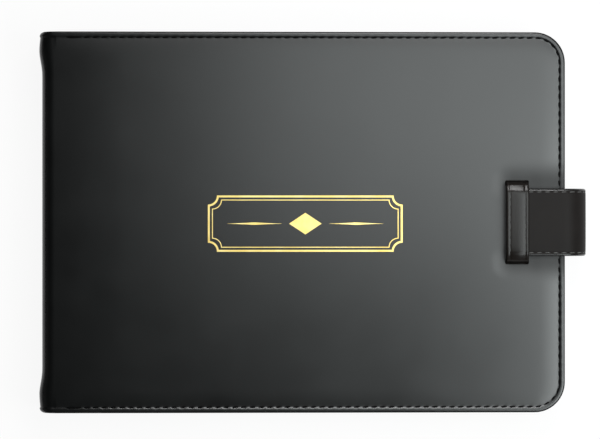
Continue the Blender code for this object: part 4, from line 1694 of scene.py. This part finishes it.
@dataclass
class Strap:
    """The strap: sewn into the back cover's edge, round the fore edge and under the keeper."""

    book: Book
    width: float = 31.2 * MM
    thick: float = 2.05 * MM
    layer: float = 0.9 * MM
    level: float = 1.375 * MM
    tip: float = 215.45
    bend_start: float = 241.0
    apex: float = 251.175
    root_level: float = 2.575 * MM
    root_runs: tuple[float, ...] = (238.0, 232.0, 220.0)
    flat_shares: tuple[float, ...] = (0.0, 0.04, 0.12, 0.3, 0.5, 0.7, 0.85)
    thin_from: float = 0.5 * MM
    thin_run: float = 2.5 * MM
    tip_r: float = 4.0 * MM
    tip_cut: float = 0.6
    bow_steps: int = 28
    half_blend: float = 9.0 * MM
    edge_band: float = 0.9 * MM
    outer_half: tuple[Pair, ...] = (
        (0.0, -0.15), (0.0, 0.15), (0.10, 0.5), (0.30, 0.78), (0.90, 0.98), (1.2, 0.97), (1.55, 0.8),
        (1.9, 0.97), (2.6, 1.02), (6.0, 1.04))
    outer_crown: float = 1.06
    inner_half: tuple[Pair, ...] = ((0.12, -0.6), (0.45, -1.0))
    seam: Pair = (1.55 * MM, 0.80)
    seam_start: float = 3.0 * MM
    seam_floor: float = 5.0 * MM
    stitches: Sewing = Sewing(pitch=3.8 * MM, length=2.8 * MM, width=0.65 * MM, height=0.32 * MM)

    def on_cover(self, millimetres: float) -> Vector:
        """A point of the strap's flat run on the leaning cover, by its distance from the spine."""
        x, z = self.book.from_spine(millimetres), self.book.thick + self.level
        return self.book.leaned(Vector((x, 0.0, z)))

    def line(self) -> list[tuple[Vector, float]]:
        """The strap's middle line.

        Returns:
            Points in the XZ plane from the tip to the sewn-in root, each with the strap's thickness there.
        """
        book = self.book
        tip, start = self.on_cover(self.tip), self.on_cover(self.bend_start)
        points = [(tip.lerp(start, share), self.thick) for share in self.flat_shares]
        middle, rise = (start.z + self.root_level) / 2, (start.z - self.root_level) / 2
        reach = book.from_spine(self.apex) - start.x
        for step in range(self.bow_steps + 1):
            turn = QUARTER - math.pi * step / self.bow_steps
            at = Vector((start.x + reach * math.cos(turn), 0.0, middle + rise * math.sin(turn)))
            share = ease((at.x - book.fore_x - self.thin_from) / self.thin_run) if turn < 0 else 1.0
            points.append((at, self.layer + (self.thick - self.layer) * share))
        points += [(Vector((book.from_spine(run), 0.0, self.root_level)), self.layer)
                   for run in self.root_runs]
        return points

    def section(self, thick: float, width: float) -> list[Pair]:
        """The strap in section: two layers with rounded sides, grooved where they are sewn.

        Args:
            thick: Its thickness here.
            width: Its width here.

        Returns:
            Offsets across the strap and out of it.
        """
        half, edge = width / 2, thick / 2
        outer = [(inset * MM - half, share * edge) for inset, share in self.outer_half]
        inner = [(half - inset * MM, share * edge) for inset, share in self.inner_half]
        return mirrored([*outer, (0.0, self.outer_crown * edge)]) + mirrored([*inner, (0.0, -edge)])

    def frames(self) -> list[tuple[Vector, Vector, Vector, float]]:
        """The line with its direction, outward normal and thickness at each point.

        Returns:
            The four of them, point by point.
        """
        line = self.line()
        ways = directions([at for at, _ in line])
        return [(at, way, Vector((-way.z, 0.0, way.x)), thick) for (at, thick), way in zip(line, ways)]

    def bend(self) -> Bends:
        """How the strap bends from its sewn-in root to its tongue.

        Returns:
            The bend, round the middle of its bow.
        """
        x = self.book.from_spine(self.apex)
        middle = (self.on_cover(self.bend_start).z + self.root_level) / 2
        return Bends("back_cover", "strap_tongue", (x, 0.0, middle - self.half_blend),
                     (x, 0.0, middle + self.half_blend))

    def band(self) -> None:
        """Build the strap."""
        frames = self.frames()
        loops = []
        for at, _, out, thick in frames:
            back = self.tip_r - min(self.tip_r, (at - frames[0][0]).length)
            width = self.width - 2 * (self.tip_r - math.sqrt(self.tip_r**2 - back**2)) * self.tip_cut
            shift = (self.thick - thick) / 2
            loops.append([at + out * (b + shift) + Vector((0.0, a, 0.0))
                          for a, b in self.section(thick, width)])
        bench = Bench.swept("strap", loops)
        bench.smooth(angle=45.0)
        stands_for = [f"strap_{run}_{layer}" for run in ("tongue", "root") for layer in ("outer", "facing")]
        edges = bench.faces(lambda face: abs(face.center.y) > self.width / 2 - self.edge_band)
        hand_over(bench, STRAP_LEATHER, self.bend(), stands_for, STRAP_EDGE, edges)

    def sewing(self) -> None:
        """Sew a row along each side of the strap, from the tip round to the back cover."""
        frames = self.frames()
        inset, level = self.seam
        places = []
        run, due = 0.0, self.seam_start
        for (at, way, out, _), (after, way_after, out_after, _) in zip(frames, frames[1:]):
            step = (after - at).length
            while due < run + step:
                share = (due - run) / step
                middle = at.lerp(after, share)
                normal = out.lerp(out_after, share).normalized()
                if middle.z > self.seam_floor:
                    for side in (-1, 1):
                        spot = middle + normal * level * self.thick / 2
                        spot.y = side * (self.width / 2 - inset)
                        places.append((spot, way.lerp(way_after, share), normal))
                due += self.stitches.pitch
            run += step
        row = self.stitches.sew("strap_stitches", places)
        hand_over(row, STRAP_THREAD, self.bend())


@dataclass
class TitlePanel:
    """A gilt-stamped frame of two rules with scooped corners, a lozenge and tapered rules inside."""

    book: Book
    middle: Pair = (0.7 * MM, -0.6 * MM)
    size: Pair = (90.0 * MM, 26.0 * MM)
    rules: tuple[Pair, ...] = ((0.0, 0.9 * MM), (1.9 * MM, 0.4 * MM))
    scoop: float = 4.2 * MM
    scoop_steps: int = 10
    scoop_hollow: float = 0.08
    lozenge_half: Pair = (7.5 * MM, 5.0 * MM)
    swell_span: Pair = (11.0 * MM, 36.0 * MM)
    swell_half: float = 0.6 * MM
    swell_point: float = 0.06
    swell_power: float = 1.4
    swell_cuts: int = 16
    foil_t: float = 0.05 * MM
    lift: float = 0.02 * MM

    def rule(self, inset: float, width: float) -> Bench:
        """One closed rule of the frame.

        Args:
            inset: How far in from the panel's size it lies.
            width: The rule's width.

        Returns:
            The flat rule at height 0.
        """
        x, y = self.middle
        half_w, half_h = self.size[0] / 2 - inset, self.size[1] / 2 - inset
        bench = Bench.plate("frame_rule", (x - half_w, y - half_h), (x + half_w, y + half_h))
        with bench.edit():
            bench.pick_all(Kind.VERTS)
            bpy.ops.mesh.bevel(offset=self.scoop, segments=self.scoop_steps, profile=self.scoop_hollow,
                               affect="VERTICES")
            bench.pick_all(Kind.FACES)
            bpy.ops.mesh.inset(thickness=width, depth=0.0, use_even_offset=True)
            bpy.ops.mesh.delete(type="FACE")
        return bench

    def lozenge(self) -> Bench:
        """The lozenge in the middle.

        Returns:
            The flat lozenge at height 0.
        """
        clear_selection()
        bpy.ops.mesh.primitive_circle_add(vertices=4, radius=1.0, fill_type="NGON",
                                          location=(*self.middle, 0.0))
        return Bench.start("lozenge", (*self.lozenge_half, 1.0))

    def swelled_rule(self, side: int) -> Bench:
        """A rule that swells in its middle and runs out to points.

        Args:
            side: -1 on the spine's side of the lozenge, 1 on the other.

        Returns:
            The flat rule at height 0.
        """
        near, far = self.swell_span
        x, y, half = self.middle[0] + side * (near + far) / 2, self.middle[1], (far - near) / 2
        bench = Bench.plate("swelled_rule", (x - half, y - self.swell_half), (x + half, y + self.swell_half))
        with bench.edit():
            bench.divide(lambda _, way: abs(way.x) > ALONG, self.swell_cuts)

        def taper(at: Vector) -> Vector:
            """Draw a point in towards the rule's ends.

            Args:
                at: A point of the rule.

            Returns:
                The moved point.
            """
            run = min(1.0, abs(at.x - x) / half)
            full = self.swell_point + (1.0 - self.swell_point) * (1.0 - run) ** self.swell_power
            return Vector((at.x, y + (at.y - y) * full, at.z))

        bench.reshape(taper)
        return bench

    def stamp(self) -> None:
        """Build the whole stamping."""
        parts = [self.rule(inset, width) for inset, width in self.rules]
        parts.append(self.lozenge())
        parts += [self.swelled_rule(side) for side in (-1, 1)]
        bench = Bench.joined("title_panel_foil", parts)
        with bench.edit():
            bench.face_outwards()
        bench.modifier("SOLIDIFY", thickness=self.foil_t, offset=1.0)
        bench.reshape(lambda at: at + UPRIGHT * self.lift)
        self.book.settled(bench, Side.FRONT)
        hand_over(bench, FOIL, Rides("front_cover"))


@dataclass(frozen=True)
class Lamp:
    """A soft rectangular lamp, which faces the book or hangs level."""

    name: str
    place: Triple
    size: Pair
    power: float
    colour: Colour = (1.0, 1.0, 1.0)
    level: bool = False

    def hang(self) -> None:
        """Hang the lamp."""
        data = bpy.data.lights.new(self.name, "AREA")
        data.shape = "RECTANGLE"
        data.size, data.size_y = self.size
        data.energy, data.color = self.power, self.colour
        lamp = bpy.data.objects.new(self.name, data)
        lamp.location = self.place
        if not self.level:
            lamp.rotation_euler = (-Vector(self.place)).to_track_quat("-Z", "Y").to_euler()
        lamp.visible_camera = False
        bpy.context.scene.collection.objects.link(lamp)


@dataclass
class Studio:
    """Camera straight above, soft lamps and a pale floor."""

    book: Book
    aim: Pair = (-1.8 * MM, 1.3 * MM)
    view_w: float = 276.3 * MM
    height: float = 1.4
    sensor: float = 36.0
    sight: float = 20.0
    lamps: tuple[Lamp, ...] = (
        Lamp("fore_lamp", (0.39, -0.148, 0.55), (0.371, 0.46), 3.6, (0.94, 1.0, 1.0), level=True),
        Lamp("middle_lamp", (0.259, 0.093, 0.55), (0.536, 0.216), 1.31, (0.94, 1.0, 1.0), level=True),
        Lamp("head_lamp", (0.1, 0.42, 0.60), (0.35, 0.12), 2.55),
        Lamp("spine_lamp", (-1.0, -0.25, 0.50), (0.7, 0.5), 0.10),
        Lamp("tail_lamp", (0.1, -1.1, 0.45), (1.0, 0.6), 1.7),
    )
    sky: float = 0.02
    floor_half: float = 3.0
    floor_colour: Colour = (0.9, 0.9, 0.9)
    floor_rough: float = 0.9
    floor_white: float = 0.92

    def camera(self) -> None:
        """Set the camera up."""
        data = bpy.data.cameras.new("camera")
        data.sensor_width = self.sensor
        data.lens = self.sensor * self.height / self.view_w
        data.clip_end = self.sight
        camera = bpy.data.objects.new("camera", data)
        camera.location = (*self.aim, self.height + self.book.thick)
        bpy.context.scene.collection.objects.link(camera)
        bpy.context.scene.camera = camera

    def pale_surface(self) -> bpy.types.Material:
        """A matt floor that the camera and reflections see as white, with the shadow kept faintly.

        Returns:
            The material.
        """
        shader = Shader("pale_floor")
        shader.surface.inputs["Base Color"].default_value = (*self.floor_colour, 1.0)
        shader.surface.inputs["Roughness"].default_value = self.floor_rough
        rays = shader.add("LightPath").outputs
        seen = shader.math("MAXIMUM", rays["Is Camera Ray"], rays["Is Glossy Ray"])
        seen = shader.math("MAXIMUM", seen, rays["Is Transmission Ray"])
        glow = shader.add("Emission").outputs["Emission"]
        mix = shader.add("MixShader", {"Fac": shader.math("MULTIPLY", seen, self.floor_white),
                                       1: shader.surface.outputs["BSDF"], 2: glow})
        shader.tree.links.new(mix.outputs["Shader"], shader.output.inputs["Surface"])
        return shader.material

    def build(self) -> None:
        """Set up camera, lamps, world and floor."""
        scene = bpy.context.scene
        scene.view_settings.view_transform = "Standard"
        self.camera()
        for lamp in self.lamps:
            lamp.hang()
        scene.world = bpy.data.worlds.new("studio")
        scene.world.use_nodes = True
        sky = scene.world.node_tree.nodes["Background"].inputs
        sky["Color"].default_value, sky["Strength"].default_value = (1.0, 1.0, 1.0, 1.0), self.sky
        half = self.floor_half
        floor = Bench.plate("floor", (-half, -half), (half, half))
        floor.obj.data.materials.append(self.pale_surface())


def dress_nodes() -> None:
    """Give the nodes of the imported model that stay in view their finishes."""
    finishes: dict[str, Finish] = {"nickel_steel": STEEL, "grey_board": GREY_BOARD, "lining_cloth": LINING}
    for node in frame["nodes"].values():
        for slot in node.material_slots:
            name = slot.material.name.split(".")[0] if slot.material else ""
            if name in finishes:
                slot.material = finishes[name].material()


def main() -> None:
    """Build the book piece by piece and log its thickness and lean."""
    logging.basicConfig(level=logging.INFO, format="%(name)s %(message)s")
    book = Book.measure()
    LOG.info("book: %.1f mm thick, covers lean %.3f degrees", book.thick / MM, math.degrees(book.lean))
    dress_nodes()
    keeper = Keeper(book)
    front, back = Cover(book, Side.FRONT), Cover(book, Side.BACK)
    front.leather(keeper.slits())
    back.leather()
    for cover in (front, back):
        cover.sewing(Face.OUTER)
        cover.sewing(Face.INNER)
        Lining(book, cover.side).build()
    LogSheets("page_stack", "back_cover", 11).build()
    LogSheets("turning_leaves", "turning_leaves", 23).build()
    binder = RingBinder()
    for end, word in ((1, "head_end"), (-1, "tail_end")):
        binder.half_ring("spine_side", word)
        binder.half_ring("page_side", word)
        binder.lever(word, end)
    keeper.band()
    keeper.sewing()
    strap = Strap(book)
    strap.band()
    strap.sewing()
    TitlePanel(book).stamp()
    Studio(book).build()


if __name__ == "__main__":
    main()
